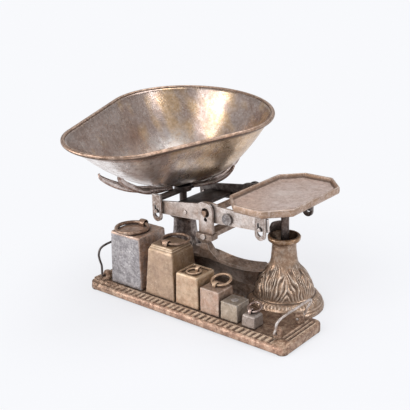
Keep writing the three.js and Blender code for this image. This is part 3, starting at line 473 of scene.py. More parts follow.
def build_patina_group() -> None:
    """Blotches, stains, pale specks, dark pits and grain of aged metal, from fractal noise of four sizes."""
    desk, given, out = start_group(Group.PATINA, ("Blotch Scale", "Speck Scale"),
                                   ("Blotch", "Stain", "Mottle", "Speck", "Pit", "Grain"))
    vector, blotch, speck = given.values()
    wide, broad, patchy, deep = (desk.moved(vector, shift) for shift in (
        (3.1, 1.7, 5.3), (7.7, 2.9, 0.4), (4.4, 0.9, 6.1), (1.3, 8.2, 2.2)))
    fine, coarse = desk.noise(vector, speck, 4.0, 0.75), desk.noise(deep, speck, 3.0, 0.7)
    spread = desk.ramp(desk.noise(broad, blotch, 4.0, 0.6), 0.38, 0.6, 0.15, 1.0)
    patch = desk.math("MULTIPLY", speck, 0.4, hold=False)
    for name, value in (
            ("Blotch", desk.ramp(desk.noise(vector, blotch, 9.0, 0.72), 0.42, 0.74)),
            ("Stain", desk.ramp(desk.noise(wide, blotch, 8.0, 0.7), 0.4, 0.66)),
            ("Speck", desk.times(desk.ramp(fine, 0.57, 0.65), spread)),
            ("Mottle", desk.ramp(desk.noise(patchy, patch, 7.0, 0.78), 0.41, 0.6)),
            ("Pit", desk.ramp(coarse, 0.6, 0.68)),
            ("Grain", desk.math("ADD", desk.times(fine, 0.55), desk.times(coarse, 0.45)))):
        desk.set(out, name, value)


def build_wear_and_light_group() -> None:
    """Bright worn ridges with painted highlights, and dark hollows with grime and painted shade, from how open a spot
    is, how near an edge, and its relief mark, which carries cast relief and painted light.

    Nearness to an edge and to a corner comes in as shares of open sky outside and inside the metal.
    """
    desk, given, out = start_group(Group.WEAR_AND_LIGHT, ("Open", "Inside", "Relief", "Break Scale"), ("RidgeAndSheen", "HollowAndShade"))
    breaks = desk.noise(given["Vector"], given["Break Scale"], 4.0, 0.65)
    broken = desk.ramp(breaks, 0.36, 0.6, 0.35, 1.0)
    edge = desk.times(desk.ramp(given["Inside"], 0.9, 0.55), broken)
    # crests of the relief mark: worn ridges, painted highlights and a painted reflection
    crest = desk.times(desk.ramp(given["Relief"], 0.25, 0.95), broken)
    desk.set(out, "RidgeAndSheen", desk.math("MAXIMUM", edge, crest))
    # painted shade, with grime: spots shut in by nearby metal darken, as where shade falls in hollows and between parts
    shut = desk.math("ADD", desk.ramp(given["Open"], 0.85, 0.3), desk.ramp(breaks, 0.5, 0.7, 0.0, 0.15))
    desk.set(out, "HollowAndShade", desk.math("MAXIMUM", shut, desk.ramp(given["Relief"], -0.1, -0.85)))


@dataclass(frozen=True)
class MetalFinish:
    """An aged metal: colours that stains, blotches, specks and pits mix, bright ridges with painted highlights, and
    dark hollows with grime and painted shade.

    The rust colour shows where a piece's own "rust" mark is high; on the weights' sides that face +X that mark paints
    shade. Scales count waves to a metre, shares say how strongly an effect shows, and reaches and depths are in metres.
    """

    name: str
    base: Colour
    stain: Colour
    dark: Colour
    bright: Colour
    rust_and_shade: Colour = (0.20, 0.10, 0.055)
    metallic: float = 0.8
    smooth_roughness: float = 0.3
    rough_roughness: float = 0.58
    blotch_scale: float = 28.0
    speck_scale: float = 420.0
    stain_share: float = 0.75
    blotch_share: float = 0.7
    mottle_share: float = 0.45
    pale_mottle: float = 0.8
    speck_share: float = 0.45
    pit_share: float = 0.6
    ridge_share: float = 0.8
    # the hollow settings set how strongly grime and painted shade show in shut-in spots
    hollow_share: float = 0.85
    hollow_darkness: float = 0.45
    grain_depth: float = 0.00012
    edge_reach: float = 0.0008
    hollow_reach: float = 0.006
    sky_samples: int = 6

    def sky(self, desk: NodeDesk, reach: float, inside: bool) -> Socket:
        """The share of open sky within reach of a spot, outside the metal or inside it."""
        settings = {"samples": self.sky_samples, "inside": inside, "only_local": inside}
        return desk.add("ShaderNodeAmbientOcclusion", settings, Distance=reach).outputs["AO"]

    def build(self) -> bpy.types.Material:
        """Lays stain, rust with painted side shade, blotches, mottling, specks, pits, hollows with grime and painted
        shade, and ridges with painted highlights over the base, in that order.

        Returns:
            The material.
        """
        material = bpy.data.materials.new(self.name)
        desk = NodeDesk.cleared(material)
        groups = bpy.data.node_groups
        place = desk.place()
        patina = desk.add("ShaderNodeGroup", {"node_tree": groups[Group.PATINA.value]}, Vector=place,
                          Blotch_Scale=self.blotch_scale, Speck_Scale=self.speck_scale)
        blotch, stain, mottle, speck, pit, grain = (
            patina.outputs[key] for key in ("Blotch", "Stain", "Mottle", "Speck", "Pit", "Grain"))
        wear_and_light = desk.add("ShaderNodeGroup", {"node_tree": groups[Group.WEAR_AND_LIGHT.value]}, Vector=place,
                        Open=self.sky(desk, self.hollow_reach, False), Inside=self.sky(desk, self.edge_reach, True),
                        # the relief mark carries cast relief as well as painted highlights, a painted reflection and
                        # painted shade
                        Relief=desk.mark("relief_and_light"), Break_Scale=self.speck_scale / 3)
        ridge_and_sheen, hollow_and_shade = wear_and_light.outputs["RidgeAndSheen"], wear_and_light.outputs["HollowAndShade"]
        # the rust mark, which is painted shade on the weights' sides that face +X, shifted by the blotches
        rust_and_shade_amount = desk.math("ADD", desk.mark("rust_and_shade"), desk.times(desk.math("SUBTRACT", blotch, 0.5), 0.5))
        pale = self.mottle_share * self.pale_mottle
        colour: object = self.base
        for share, over in (
                (desk.times(stain, self.stain_share), self.stain),
                # the rust colour, which also paints shade on the weights' sides that face +X
                (desk.ramp(rust_and_shade_amount, 0.25, 0.75), self.rust_and_shade),
                (desk.times(blotch, self.blotch_share), self.dark),
                (desk.ramp(mottle, 0.45, 1.0, 0.0, self.mottle_share), self.dark),
                (desk.ramp(mottle, 0.55, 0.0, 0.0, pale), self.bright),
                (desk.times(speck, self.speck_share), self.bright),
                (desk.times(pit, self.pit_share), self.dark),
                # grime and painted shade: shut-in spots and low relief marks take a darkened dark colour
                (desk.times(hollow_and_shade, self.hollow_share), tuple(self.hollow_darkness * part for part in self.dark)),
                # worn edges, and painted highlights where the relief mark is high
                (desk.times(ridge_and_sheen, self.ridge_share), self.bright)):
            colour = desk.mix(share, colour, over)
        rough = desk.ramp(desk.math("MAXIMUM", blotch, hollow_and_shade), 0.0, 1.0, self.smooth_roughness, self.rough_roughness)
        bump = desk.add("ShaderNodeBump", Strength=1.0, Distance=self.grain_depth, Height=grain)
        shader = desk.add("ShaderNodeBsdfPrincipled", Base_Color=colour, Roughness=rough, Metallic=self.metallic,
                          Normal=bump.outputs["Normal"])
        desk.add("ShaderNodeOutputMaterial", Surface=shader.outputs["BSDF"])
        return material


FINISHES = (
    MetalFinish("pillar_bronze", (0.44, 0.29, 0.195), (0.49, 0.30, 0.19), (0.10, 0.068, 0.052), (0.88, 0.78, 0.68),
                rust_and_shade=(0.36, 0.20, 0.095), metallic=0.72, smooth_roughness=0.31, rough_roughness=0.55, blotch_scale=46,
                speck_scale=420, speck_share=0.5, ridge_share=0.65, hollow_share=0.8, mottle_share=0.3),
    MetalFinish("bow_iron", (0.34, 0.26, 0.215), (0.42, 0.265, 0.175), (0.10, 0.075, 0.064), (0.66, 0.57, 0.50),
                metallic=0.7, smooth_roughness=0.36, blotch_scale=40, speck_scale=380, speck_share=0.3),
    MetalFinish("tray_iron", (0.355, 0.208, 0.137), (0.42, 0.245, 0.155), (0.085, 0.054, 0.04), (0.82, 0.64, 0.48),
                rust_and_shade=(0.50, 0.285, 0.195), metallic=0.45, smooth_roughness=0.38, blotch_scale=44, speck_scale=330,
                speck_share=0.7, mottle_share=0.55, grain_depth=0.0004),
    MetalFinish("dark_iron", (0.095, 0.078, 0.074), (0.17, 0.11, 0.085), (0.03, 0.025, 0.025), (0.50, 0.45, 0.42),
                speck_share=0.25, ridge_share=0.45, mottle_share=0.25),
    MetalFinish("link_steel", (0.48, 0.395, 0.35), (0.34, 0.22, 0.16), (0.13, 0.10, 0.085), (0.93, 0.89, 0.87),
                rust_and_shade=(0.34, 0.235, 0.18), metallic=0.75, smooth_roughness=0.28, blotch_scale=90, speck_scale=520,
                blotch_share=0.7),
    MetalFinish("pillar_dark", (0.225, 0.18, 0.165), (0.27, 0.19, 0.15), (0.07, 0.056, 0.052), (0.62, 0.55, 0.50),
                rust_and_shade=(0.25, 0.16, 0.11), metallic=0.78, smooth_roughness=0.3, blotch_scale=46, speck_share=0.4),
    MetalFinish("worn_steel", (0.88, 0.795, 0.75), (0.42, 0.28, 0.20), (0.16, 0.12, 0.10), (0.96, 0.93, 0.91),
                rust_and_shade=(0.42, 0.29, 0.22), metallic=0.72, smooth_roughness=0.3, blotch_scale=52, speck_scale=520,
                blotch_share=0.85, stain_share=0.95, mottle_share=0.22),
    MetalFinish("scoop_sheet", (0.53, 0.425, 0.375), (0.41, 0.26, 0.20), (0.14, 0.09, 0.07), (0.95, 0.90, 0.87),
                rust_and_shade=(0.73, 0.50, 0.30), metallic=0.86, smooth_roughness=0.22, rough_roughness=0.42, blotch_scale=21,
                speck_scale=460, grain_depth=0.00005, blotch_share=0.5, speck_share=0.65, mottle_share=0.24,
                pit_share=0.8, ridge_share=1.0, hollow_reach=0.004),
    MetalFinish("rolled_rim", (0.42, 0.275, 0.20), (0.48, 0.29, 0.19), (0.13, 0.09, 0.072), (0.86, 0.68, 0.55),
                metallic=0.75, smooth_roughness=0.3, rough_roughness=0.5, blotch_scale=60, speck_scale=380),
    MetalFinish("rod_brown", (0.44, 0.305, 0.255), (0.30, 0.185, 0.14), (0.11, 0.075, 0.063), (0.94, 0.86, 0.82),
                metallic=0.8, smooth_roughness=0.22, blotch_scale=70, ridge_share=0.6),
    MetalFinish("plate_metal", (0.68, 0.535, 0.48), (0.56, 0.41, 0.335), (0.26, 0.175, 0.135), (0.93, 0.85, 0.80),
                rust_and_shade=(0.43, 0.275, 0.18), metallic=0.55, smooth_roughness=0.33, blotch_scale=44, speck_scale=360,
                blotch_share=0.55, speck_share=0.55, mottle_share=0.3),
    MetalFinish("blue_iron", (0.36, 0.335, 0.345), (0.29, 0.26, 0.26), (0.10, 0.09, 0.092), (0.86, 0.82, 0.80),
                rust_and_shade=(0.68, 0.43, 0.29), metallic=0.5, smooth_roughness=0.4, blotch_scale=60, speck_scale=330,
                speck_share=0.75, mottle_share=0.35, blotch_share=0.6),
    MetalFinish("warm_iron", (0.49, 0.335, 0.228), (0.42, 0.28, 0.205), (0.18, 0.12, 0.085), (0.88, 0.72, 0.54),
                rust_and_shade=(0.36, 0.23, 0.125), metallic=0.5, smooth_roughness=0.38, blotch_scale=52, speck_scale=360,
                mottle_share=0.16),
    MetalFinish("golden_iron", (0.66, 0.475, 0.325), (0.56, 0.32, 0.20), (0.22, 0.145, 0.095), (0.95, 0.82, 0.64),
                rust_and_shade=(0.45, 0.29, 0.16), metallic=0.5, smooth_roughness=0.36, blotch_scale=70, speck_scale=380,
                mottle_share=0.2, blotch_share=0.5),
    MetalFinish("pink_iron", (0.60, 0.43, 0.33), (0.50, 0.275, 0.18), (0.20, 0.13, 0.10), (0.94, 0.84, 0.75),
                rust_and_shade=(0.25, 0.155, 0.105), metallic=0.4, smooth_roughness=0.38, blotch_scale=80, speck_scale=400,
                mottle_share=0.2, blotch_share=0.5),
    MetalFinish("olive_iron", (0.52, 0.42, 0.32), (0.42, 0.32, 0.23), (0.17, 0.13, 0.10), (0.86, 0.79, 0.70),
                rust_and_shade=(0.34, 0.29, 0.25), metallic=0.45, smooth_roughness=0.4, blotch_scale=90, mottle_share=0.2,
                blotch_share=0.5),
    MetalFinish("grey_pink_iron", (0.42, 0.335, 0.285), (0.33, 0.25, 0.205), (0.14, 0.105, 0.09), (0.80, 0.74, 0.69),
                rust_and_shade=(0.28, 0.235, 0.21), metallic=0.5, smooth_roughness=0.36, blotch_scale=100, mottle_share=0.2,
                blotch_share=0.5),
    MetalFinish("brown_iron", (0.33, 0.215, 0.15), (0.42, 0.24, 0.15), (0.13, 0.085, 0.065), (0.78, 0.62, 0.50),
                metallic=0.6, smooth_roughness=0.32, blotch_scale=80, speck_scale=460),
    MetalFinish("pale_plug", (0.60, 0.55, 0.52), (0.42, 0.36, 0.33), (0.18, 0.15, 0.14), (0.94, 0.91, 0.89),
                metallic=0.5, smooth_roughness=0.4, blotch_scale=160, speck_scale=640, speck_share=0.8),
    MetalFinish("grey_iron", (0.20, 0.185, 0.19), (0.32, 0.26, 0.22), (0.085, 0.072, 0.07), (0.74, 0.70, 0.68),
                metallic=0.65, smooth_roughness=0.34, blotch_scale=90, speck_scale=520))


class Finisher:
    """Makes each finish once and puts it on pieces."""

    def __init__(self) -> None:
        """Builds the shared node groups and every finish."""
        build_patina_group()
        build_wear_and_light_group()
        self.materials = {finish.name: finish.build() for finish in FINISHES}

    def dress(self, piece: Piece, finish: str) -> None:
        """Gives a piece one finish, in place of what it has.

        Args:
            piece: the object.
            finish: the finish's name.
        """
        piece.data.materials.clear()
        piece.data.materials.append(self.materials[finish])
        log.info("%s in %s, %d faces", piece.name, finish, len(piece.data.polygons))

    def stand_for(self, piece: Piece, finish: str, node: str) -> None:
        """Dresses a piece that rides on a CAD node's body and stands for that node, which it hides.

        Args:
            piece: the finished object.
            finish: the finish's name.
            node: the CAD node that it replaces.
        """
        self.dress(piece, finish)
        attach(piece, frame["nodes"][node]["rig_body"])
        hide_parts(node)
        log.info("%s stands for %s", piece.name, node)

    def ride_along(self, piece: Piece, finish: str, body: str) -> None:
        """Dresses a piece that rides on a body and belongs to a larger node there.

        Args:
            piece: the finished object.
            finish: the finish's name.
            body: the body that it moves with.
        """
        self.dress(piece, finish)
        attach(piece, body)
        log.info("%s moves with %s", piece.name, body)


# Scoop


@dataclass
class Scoop:
    """The pouring scoop: one sheet-metal bowl with a rolled rim, in its own tilted frame."""

    back_radius: float = 114.42
    lip_radius: float = 70.7
    spacing: float = 147.3
    depth: float = 101.5
    power: float = 2.1
    shift: float = -8.0
    wall: float = 1.4
    bead: float = 2.8
    bead_turn: float = 345.0
    bead_rows: int = 24
    set_in: float = 0.1
    dents: float = 0.35
    row_power: float = 0.85
    stain_way: tuple[float, float] = (0.77, 0.64)
    origin: tuple[float, float] = (-88.14, 26.7)
    heading: float = -86.6
    pitch: float = 2.4
    roll: float = -5.1
    columns: int = 320
    levels: int = 64

    def outline(self, inset: float) -> tuple[Array, Array]:
        """The rim seen from above: two circles joined by straight sides, evenly sampled.

        Args:
            inset: how far inside the outermost line.

        Returns:
            Points, and the outward direction at each.
        """
        back, lip = self.back_radius - inset, self.lip_radius - inset
        tangent = math.acos((back - lip) / self.spacing)
        a = np.linspace(tangent, TURN - tangent, 400)
        b = np.linspace(-tangent, tangent, 200)
        ring = np.concatenate([np.stack([back * np.cos(a), back * np.sin(a)], -1),
                               np.stack([self.spacing + lip * np.cos(b), lip * np.sin(b)], -1)])
        points = evened(np.concatenate([ring, ring[:1]]), self.columns, closed=True)
        slope = np.roll(points, -1, 0) - np.roll(points, 1, 0)
        normal = np.stack([slope[:, 1], -slope[:, 0]], -1)
        return points, normal / np.linalg.norm(normal, axis=1, keepdims=True)

    def bowl(self, share: Array, inset: float, depth: float) -> Array:
        """The bowl's wall: the outline shrunk by a share about the bottom point, sunk by its power, and dented.

        Args:
            share: 0 at the bottom to 1 at the rim, one for each row.
            inset: of the outline.
            depth: of the bottom.

        Returns:
            Points in rows and columns. The rim's row ends in the middle of the bead.
        """
        ring, _ = self.outline(inset)
        middle = np.array([self.shift, 0.0])
        wall = raised(middle + share[:, None, None] * (ring - middle)[None], -depth * (1 - share**self.power))
        wall[share == 1, :, 2] -= self.bead
        wall[..., 2] += self.dents * noise3(wall, 60.0, 4) * (1 - share[:, None])
        return wall

    def rolled(self, angle: Array) -> Array:
        """The rolled rim: a circle carried round the outline, at angles turned up from outwards.

        Args:
            angle: turned up from outwards, in radians, one for each row.

        Returns:
            Points in rows and columns.
        """
        ring, normal = self.outline(self.bead)
        plan = ring[None] + self.bead * np.cos(angle)[:, None, None] * normal[None]
        return raised(plan, self.bead * np.sin(angle) - self.bead)

    def placed(self, points: Array) -> Array:
        """Turns points from the scoop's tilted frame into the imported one, but for their height.

        Args:
            points: positions in the scoop's frame.

        Returns:
            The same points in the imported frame.
        """
        turn = (Matrix.Rotation(math.radians(self.heading), 3, "Z") @ Matrix.Rotation(math.radians(self.pitch), 3, "Y")
                @ Matrix.Rotation(math.radians(self.roll), 3, "X"))
        world = points @ np.array(turn).T
        world[..., :2] += self.origin
        return world

    def marks(self, shell: Array, height: Array) -> Marks:
        """Where the shell is rust-coloured and where it is pale or dark.

        Rust grows from left to right outside and to the middle inside, and runs down in streaks. The relief mark paints
        shade in a line under the rim outside and darkens the joint under it inside, paints a reflection of the bright
        floor as a paler left side outside, and pales the bottom inside.

        Args:
            shell: the placed points in rows and columns, the outer wall first.
            height: each row's share of the way up.

        Returns:
            The rust and relief marks.
        """
        along = (shell[..., 0] - self.origin[0]) * self.stain_way[0] + shell[..., 1] * self.stain_way[1]
        outward = np.arange(len(shell))[:, None] <= self.levels
        around = once_round(self.columns)
        streak = (np.sin(6 * around + 0.7) * np.sin(3 * around + 1.1)
                  + 0.5 * np.sin(17 * around) * np.sin(8 * around + 2))
        rust_and_shade = np.where(outward, 0.1 + 0.75 * smoothstep(-70, 60, along), 0.07 + 0.36 * smoothstep(-105, 0, along))
        rust_and_shade += 0.35 * noise3(shell, 45.0, 8) + 0.28 * streak * np.where(outward, 0.4, 1.0)
        # painted reflection: the outside's left side is paled as if it mirrored the bright floor
        painted_reflection = 0.45 * smoothstep(60, 0, along) + 0.7 * smoothstep(-5, -65, along)
        painted_reflection = painted_reflection * smoothstep(0.97, 0.92, height)
        # paler low inside and towards the left, less so at the far left
        pale_bottom = 0.85 * smoothstep(0.86, 0.5, height) * smoothstep(50, -10, along)
        pale_bottom = pale_bottom * (1 - 0.75 * smoothstep(-95, -125, along))
        # painted shade in a line just under the rim outside; inside, a darker joint under the rim
        seam_and_painted_light = np.where(outward, -1.1, -0.3) * hump(height, 0.972, 0.02)
        return {"rust_and_shade": rust_and_shade, "relief_and_light": seam_and_painted_light + np.where(outward, painted_reflection, pale_bottom)}

    def build(self, finisher: Finisher) -> None:
        """Makes the shell and its rim, as one closed piece each, as high as the CAD scoop.

        The rim's relief mark is a painted highlight on its crest, painted shade on its outer underside, and dark on its
        inner side where it meets the shell.

        Args:
            finisher: gives the pieces their finishes.
        """
        share = np.linspace(0, 1, self.levels + 1)[1:] ** self.row_power
        shell = self.placed(np.concatenate([
            self.bowl(share, self.bead + self.set_in, self.depth),
            self.bowl(share[::-1], self.bead + self.wall, self.depth - self.wall)]))
        turn = np.radians(np.linspace(0, self.bead_turn, self.bead_rows))
        rim = self.placed(self.rolled(turn))
        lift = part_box("scoop")[1].z / MM - max(shell[..., 2].max(), rim[..., 2].max())
        shell[..., 2] += lift
        rim[..., 2] += lift
        height = np.concatenate([share, share[::-1]])[:, None]
        finisher.stand_for(surface("scoop_bowl", shell, marks=self.marks(shell, height)), "scoop_sheet", "scoop")
        turn = turn[:, None]
        # painted highlight on the rim's crest, painted shade on its outer underside, a dark joint on its inner side
        seam_and_painted_light = 0.6 * hump(turn, 1.75, 0.35) - 0.9 * hump(turn, 5.9, 0.5) - 0.7 * (np.abs(turn - 2.9) < 0.3)
        roll = surface("scoop_rolled_rim", rim, wrap_rows=True, marks={"relief_and_light": seam_and_painted_light})
        finisher.ride_along(roll, "rolled_rim", "scoop")


# Pillars


@dataclass
class Pillar:
    """A hollow turned casting whose bulb is wrapped in ribbed leaves, with a ring of pegs at its foot."""

    side: str
    centre_x: float
    finish: str = "pillar_bronze"
    leaves: int = 5
    rib_depth: float = 1.3
    arches_up: float = 3.8
    arches_across: float = 5.8
    leaf_foot: float = 19.5
    leaf_tip: float = 60.0
    pegs: int = 54
    peg_height: float = 15.5
    peg_depth: float = 1.5
    ring_depth: float = 0.3
    turn: float = -50.0
    unevenness: float = 0.15
    # painted shade inside the bore
    bore_shade: float = -0.9
    collar: tuple[float, float] = (86.0, 90.0)
    columns: int = 620
    outer_rows: int = 210
    inner_rows: int = 60
    outer: Line = (
        (51.5, 0.0), (51.5, 3.6), (50.6, 5.0), (49.2, 9.0), (47.2, 12.0), (45.6, 14.1), (42.6, 17.2), (39.6, 20.0),
        (38.8, 23.0), (37.8, 27.0), (36.4, 32.0), (34.2, 36.6), (31.0, 43.0), (27.6, 48.0), (24.2, 52.0), (20.8, 56.0),
        (18.7, 60.0), (17.4, 65.0), (16.6, 72.0), (15.9, 79.0), (15.5, 84.0), (16.3, 88.0), (18.6, 89.6), (20.6, 91.0),
        (21.2, 93.6), (21.3, 95.2), (20.3, 96.7), (18.6, 97.0))
    inner: Line = (
        (17.2, 96.2), (13.6, 90.0), (11.0, 86.0), (10.6, 80.0), (10.6, 60.0), (21.0, 50.0), (28.0, 40.0),
        (33.0, 22.0), (44.0, 6.0), (44.3, 0.0))

    def relief_and_light(self, angle: Array, height: Array) -> tuple[Array, Array]:
        """Leaf ribs, pegs and rings.

        The ribs are arches nested about each leaf's middle: stripes of height plus the distance from the
        middle to a power just over one, which waver. The pegs are bumps round the foot of the bulb, and
        three low rings go round the flange under them.

        Args:
            angle: about the axis, in radians.
            height: above the floor.

        Returns:
            How far the surface stands out, and the relief mark from -1 in hollows to 1 on crests.
        """
        local = np.abs(((angle * self.leaves / TURN + 0.5) % 1.0) - 0.5) * 2
        rise = (height - self.leaf_foot) / (self.leaf_tip - self.leaf_foot)
        waver = (0.22 * np.sin(3 * angle + 7 * rise) + 0.16 * np.sin(7 * angle - 11 * rise)
                 + 0.12 * np.sin(17 * angle + 5 * rise))
        upright = 1 - 0.8 * smoothstep(0.18, 0.8, local)
        stripe = np.cos(TURN * (self.arches_up * rise * upright + self.arches_across * local**1.15 + waver))
        faint = 0.72 + 0.28 * np.sin(5 * angle + 13 * rise) * np.sin(11 * angle - 4 * rise)
        ribs = np.clip(stripe * 1.1, -1, 1) * faint
        window = smoothstep(0.0, 0.1, rise) * (1 - smoothstep(0.78, 1.12, rise + 0.3 * (1 - local) ** 2 - 0.1))
        pegs = np.abs(np.cos(self.pegs * angle / 2)) ** 0.5 * 2 - 1
        band = np.exp(-(((height - self.peg_height) / 2.0) ** 4))
        rings = np.cos(TURN * (height - 1.2) / 3.6) * smoothstep(1.0, 2.5, height) * smoothstep(12.5, 10.5, height)
        stand = (self.rib_depth * 0.5 * (ribs - 0.35) * window + self.peg_depth * 0.5 * (pegs - 0.4) * band
                 + self.ring_depth * (rings - 0.6))
        mark = ribs * window + 0.7 * (pegs - 0.25) * band + 0.55 * rings - 0.8 * hump(height, 19.0, 0.9)
        return stand, mark

    def build(self, finisher: Finisher) -> None:
        """Turns the profile about its axis: each radius plus the relief, at each angle. The bore stays plain in shape,
        and its mark paints shade inside it.

        Args:
            finisher: gives the pieces their finishes.
        """
        outside, inside = spline(self.outer, self.outer_rows), spline(self.inner, self.inner_rows)
        cast = len(outside)
        radius, height = np.concatenate([outside, inside]).T[..., None]
        angle = once_round(self.columns)
        stand, relief_and_light = np.zeros((2, len(radius), self.columns))
        stand[:cast], relief_and_light[:cast] = self.relief_and_light(angle[None], height[:cast])
        # painted shade inside the bore
        relief_and_light[cast:] = self.bore_shade
        points = turned(0, 0, radius + stand, angle + math.radians(self.turn), height)
        points[:cast] += self.unevenness * noise3(points[:cast], 9.0, 3)[..., None] * [1, 1, 0]
        points[..., 2] = np.clip(points[..., 2], 0, None)
        points[..., 0] += self.centre_x
        collar = smoothstep(*self.collar, height) * 0.75 + 0.25 * noise3(points, 14.0, 5)
        piece = surface(f"{self.side}_pillar_casting", points, wrap_rows=True, marks={"relief_and_light": relief_and_light, "rust_and_shade": collar})
        finisher.stand_for(piece, self.finish, f"{self.side}_pillar")


@dataclass
class MouthGuard:
    """The upright guard that stands round the back of the right pillar's mouth."""

    centre_x: float = 83.0
    middle_radius: float = 19.3
    half_thickness: float = 1.5
    foot: float = 95.2
    top: float = 109.4
    first_angle: float = 198.0
    last_angle: float = 111.0
    rows: int = 60
    sides: int = 28
    squareness: float = 0.6

    def build(self, finisher: Finisher) -> None:
        """Carries an upright rounded section round an arc.

        Its top falls away at both ends with the fifth power of the distance from the arc's middle.

        Args:
            finisher: gives the pieces their finishes.
        """
        share = np.linspace(0, 1, self.rows)[:, None]
        angle = np.radians(self.first_angle + (self.last_angle - self.first_angle) * share)
        top = self.foot + (self.top - self.foot) * np.clip(1 - np.abs(2 * share - 1) ** 5, 0.12, 1)
        c, s = section(self.sides, self.squareness)
        height = (top + self.foot) / 2 + (top - self.foot) / 2 * s
        points = turned(self.centre_x, 0, self.middle_radius + self.half_thickness * c, angle, height)
        finisher.ride_along(surface("right_pillar_mouth_guard", points), "dark_iron", "base")


# Weight tray


@dataclass
class Tray:
    """The cast tray: a flat deck, a border of slanting ribs in front, a plain lower band and fluted ends."""

    half_length: float = 162.0
    front_y: float = -116.0
    back_y: float = -33.0
    top: float = 14.0
    deck: float = 6.0
    skirt: float = 1.5
    skirt_wall: float = 8.0
    corner: float = 8.0
    front_corner: float = 12.0
    band_top_y: float = -103.0
    band_low_y: float = -113.0
    band_low_z: float = 10.7
    front_edge_z: float = 6.8
    edge_round: float = 3.2
    edge_drop: float = 3.0
    rib_pitch: float = 8.5
    rib_depth: float = 2.2
    rib_lean: float = 4.6
    rib_end: float = 19.0
    groove_depth: float = 0.8
    flute_pitch: float = 5.6
    knob_height: float = 1.3
    lump_size: float = 2.6
    pillar_foot: float = 52.0
    pillar_x: float = 83.0
    foot_inset: float = 9.0
    foot_ys: tuple[float, float] = (-107.0, -41.0)
    foot_profile: Line = (
        (0.1, 9.0), (7.0, 9.0), (7.6, 5.0), (8.0, 1.6), (7.6, 0.2), (6.0, 0.0), (0.1, 0.0))
    foot_rows: int = 40
    foot_sides: int = 48
    columns: int = 430
    cap_columns: int = 130
    bend_points: int = 30
    run_points: int = 40

    def back_edge(self, x: Array) -> Array:
        """The deck's back edge: straight, but round the pillars' feet."""
        off = np.abs(np.abs(x) - self.pillar_x)
        return np.minimum(self.back_y, -np.sqrt(np.clip(self.pillar_foot**2 - off**2, 0, None)))

    def outline(self) -> tuple[Array, Array]:
        """The edge seen from above, and for each of its points the nearest one of the middle line.

        Front and back points share their X, so that both halves meet on the middle line.

        Returns:
            Edge points and middle points.
        """
        depth = (self.back_y - self.front_y) / 2
        straight = self.half_length - depth
        x = np.linspace(-straight, straight, self.columns)
        bend = np.linspace(0, np.pi / 2, self.bend_points)
        r, r_front = self.corner, self.front_corner
        x_back, x_front = self.half_length - r, self.half_length - r_front
        run = np.linspace(x_back, straight, self.run_points)
        front_run = np.linspace(straight, x_front, self.run_points)
        line = np.concatenate([
            np.stack([front_run, np.full_like(front_run, self.front_y)], -1)[:-1],
            np.stack([x_front + r_front * np.sin(bend), self.front_y + r_front * (1 - np.cos(bend))], -1),
            np.stack([x_back + r * np.cos(bend), self.back_y - r + r * np.sin(bend)], -1),
            np.stack([run, self.back_edge(run)], -1)[1:]])
        cap = evened(line, self.cap_columns)[1:-1]
        edge = np.concatenate([
            np.stack([x, np.full_like(x, self.front_y)], -1), cap,
            np.stack([x[::-1], self.back_edge(x[::-1])], -1), cap[::-1] * [-1, 1]])
        middle_y = np.full(len(edge), self.front_y + depth)
        return edge, np.stack([np.clip(edge[:, 0], -straight, straight), middle_y], -1)

    def height(self, x: Array, y: Array, inset: Array) -> tuple[Array, Array, Array]:
        """Heights of the top: deck, sloping band with slanting ribs, rounded edges and fluted ends.

        Args:
            x: positions along.
            y: positions across.
            inset: distance from the edge.

        Returns:
            Heights, the relief mark and the rust mark.
        """
        slope = np.clip((self.band_top_y - y) / (self.band_top_y - self.band_low_y), 0, 1)
        nose = np.clip((self.band_low_y - y) / (self.band_low_y - self.front_y), 0, 1)
        base = self.top - (self.top - self.band_low_z) * slope
        base = base - (self.band_low_z - self.front_edge_z) * (1 - np.sqrt(1 - nose**2))
        lip = np.clip(1 - inset / self.edge_round, 0, 1) * smoothstep(self.front_y + 3, self.front_y + 9, y)
        base = base - self.edge_drop * (1 - np.sqrt(np.clip(1 - lip**2, 0, 1)))
        phase = (x + self.rib_lean * slope) / self.rib_pitch + 0.06 * np.sin(x / 9.0)
        rib = np.clip(np.cos(TURN * phase) * 1.7 + 0.45, -1, 1)
        ends = smoothstep(self.half_length - self.rib_end, self.half_length - self.rib_end - 2.5, np.abs(x))
        worn = 0.3 + 0.7 * smoothstep(-140, -70, x)
        inside = smoothstep(0.0, 0.13, slope) * smoothstep(1.0, 0.84, slope) * ends * worn
        groove = hump(y, self.band_top_y + 0.8, 0.9) * ends
        lines = np.abs(x) - self.half_length
        fluted = smoothstep(-17, -15, lines) * smoothstep(-1.5, -3.5, lines)
        fluted = fluted * smoothstep(-101, -96, y) * smoothstep(-40, -44, y)
        flute = np.cos(TURN * (lines + 4.2) / self.flute_pitch)
        knob = self.knob_height * hump(np.abs(x), 149, 6) * hump(y, -106, 4.5)
        height = (base + self.rib_depth * 0.5 * (rib - 0.75) * inside - self.groove_depth * groove
                  + (flute - 1) * fluted + knob * slope)
        deck = smoothstep(self.band_top_y, self.band_top_y + 2, y) * (1 - fluted) * smoothstep(2, 5, inset)
        relief_and_light = (np.where(rib < 0, 0.85 * rib, rib) * inside - 0.6 * groove + flute * fluted
                  + 0.5 * hump(inset, 1.8, 1.0) - 0.45 * deck)
        rust_and_shade = smoothstep(self.band_low_y + 1.6, self.band_low_y - 0.6, y) * smoothstep(-150, -60, x) * 0.95
        return height, relief_and_light, np.maximum(rust_and_shade, hump(x, 142, 9) * hump(y, -54, 8))

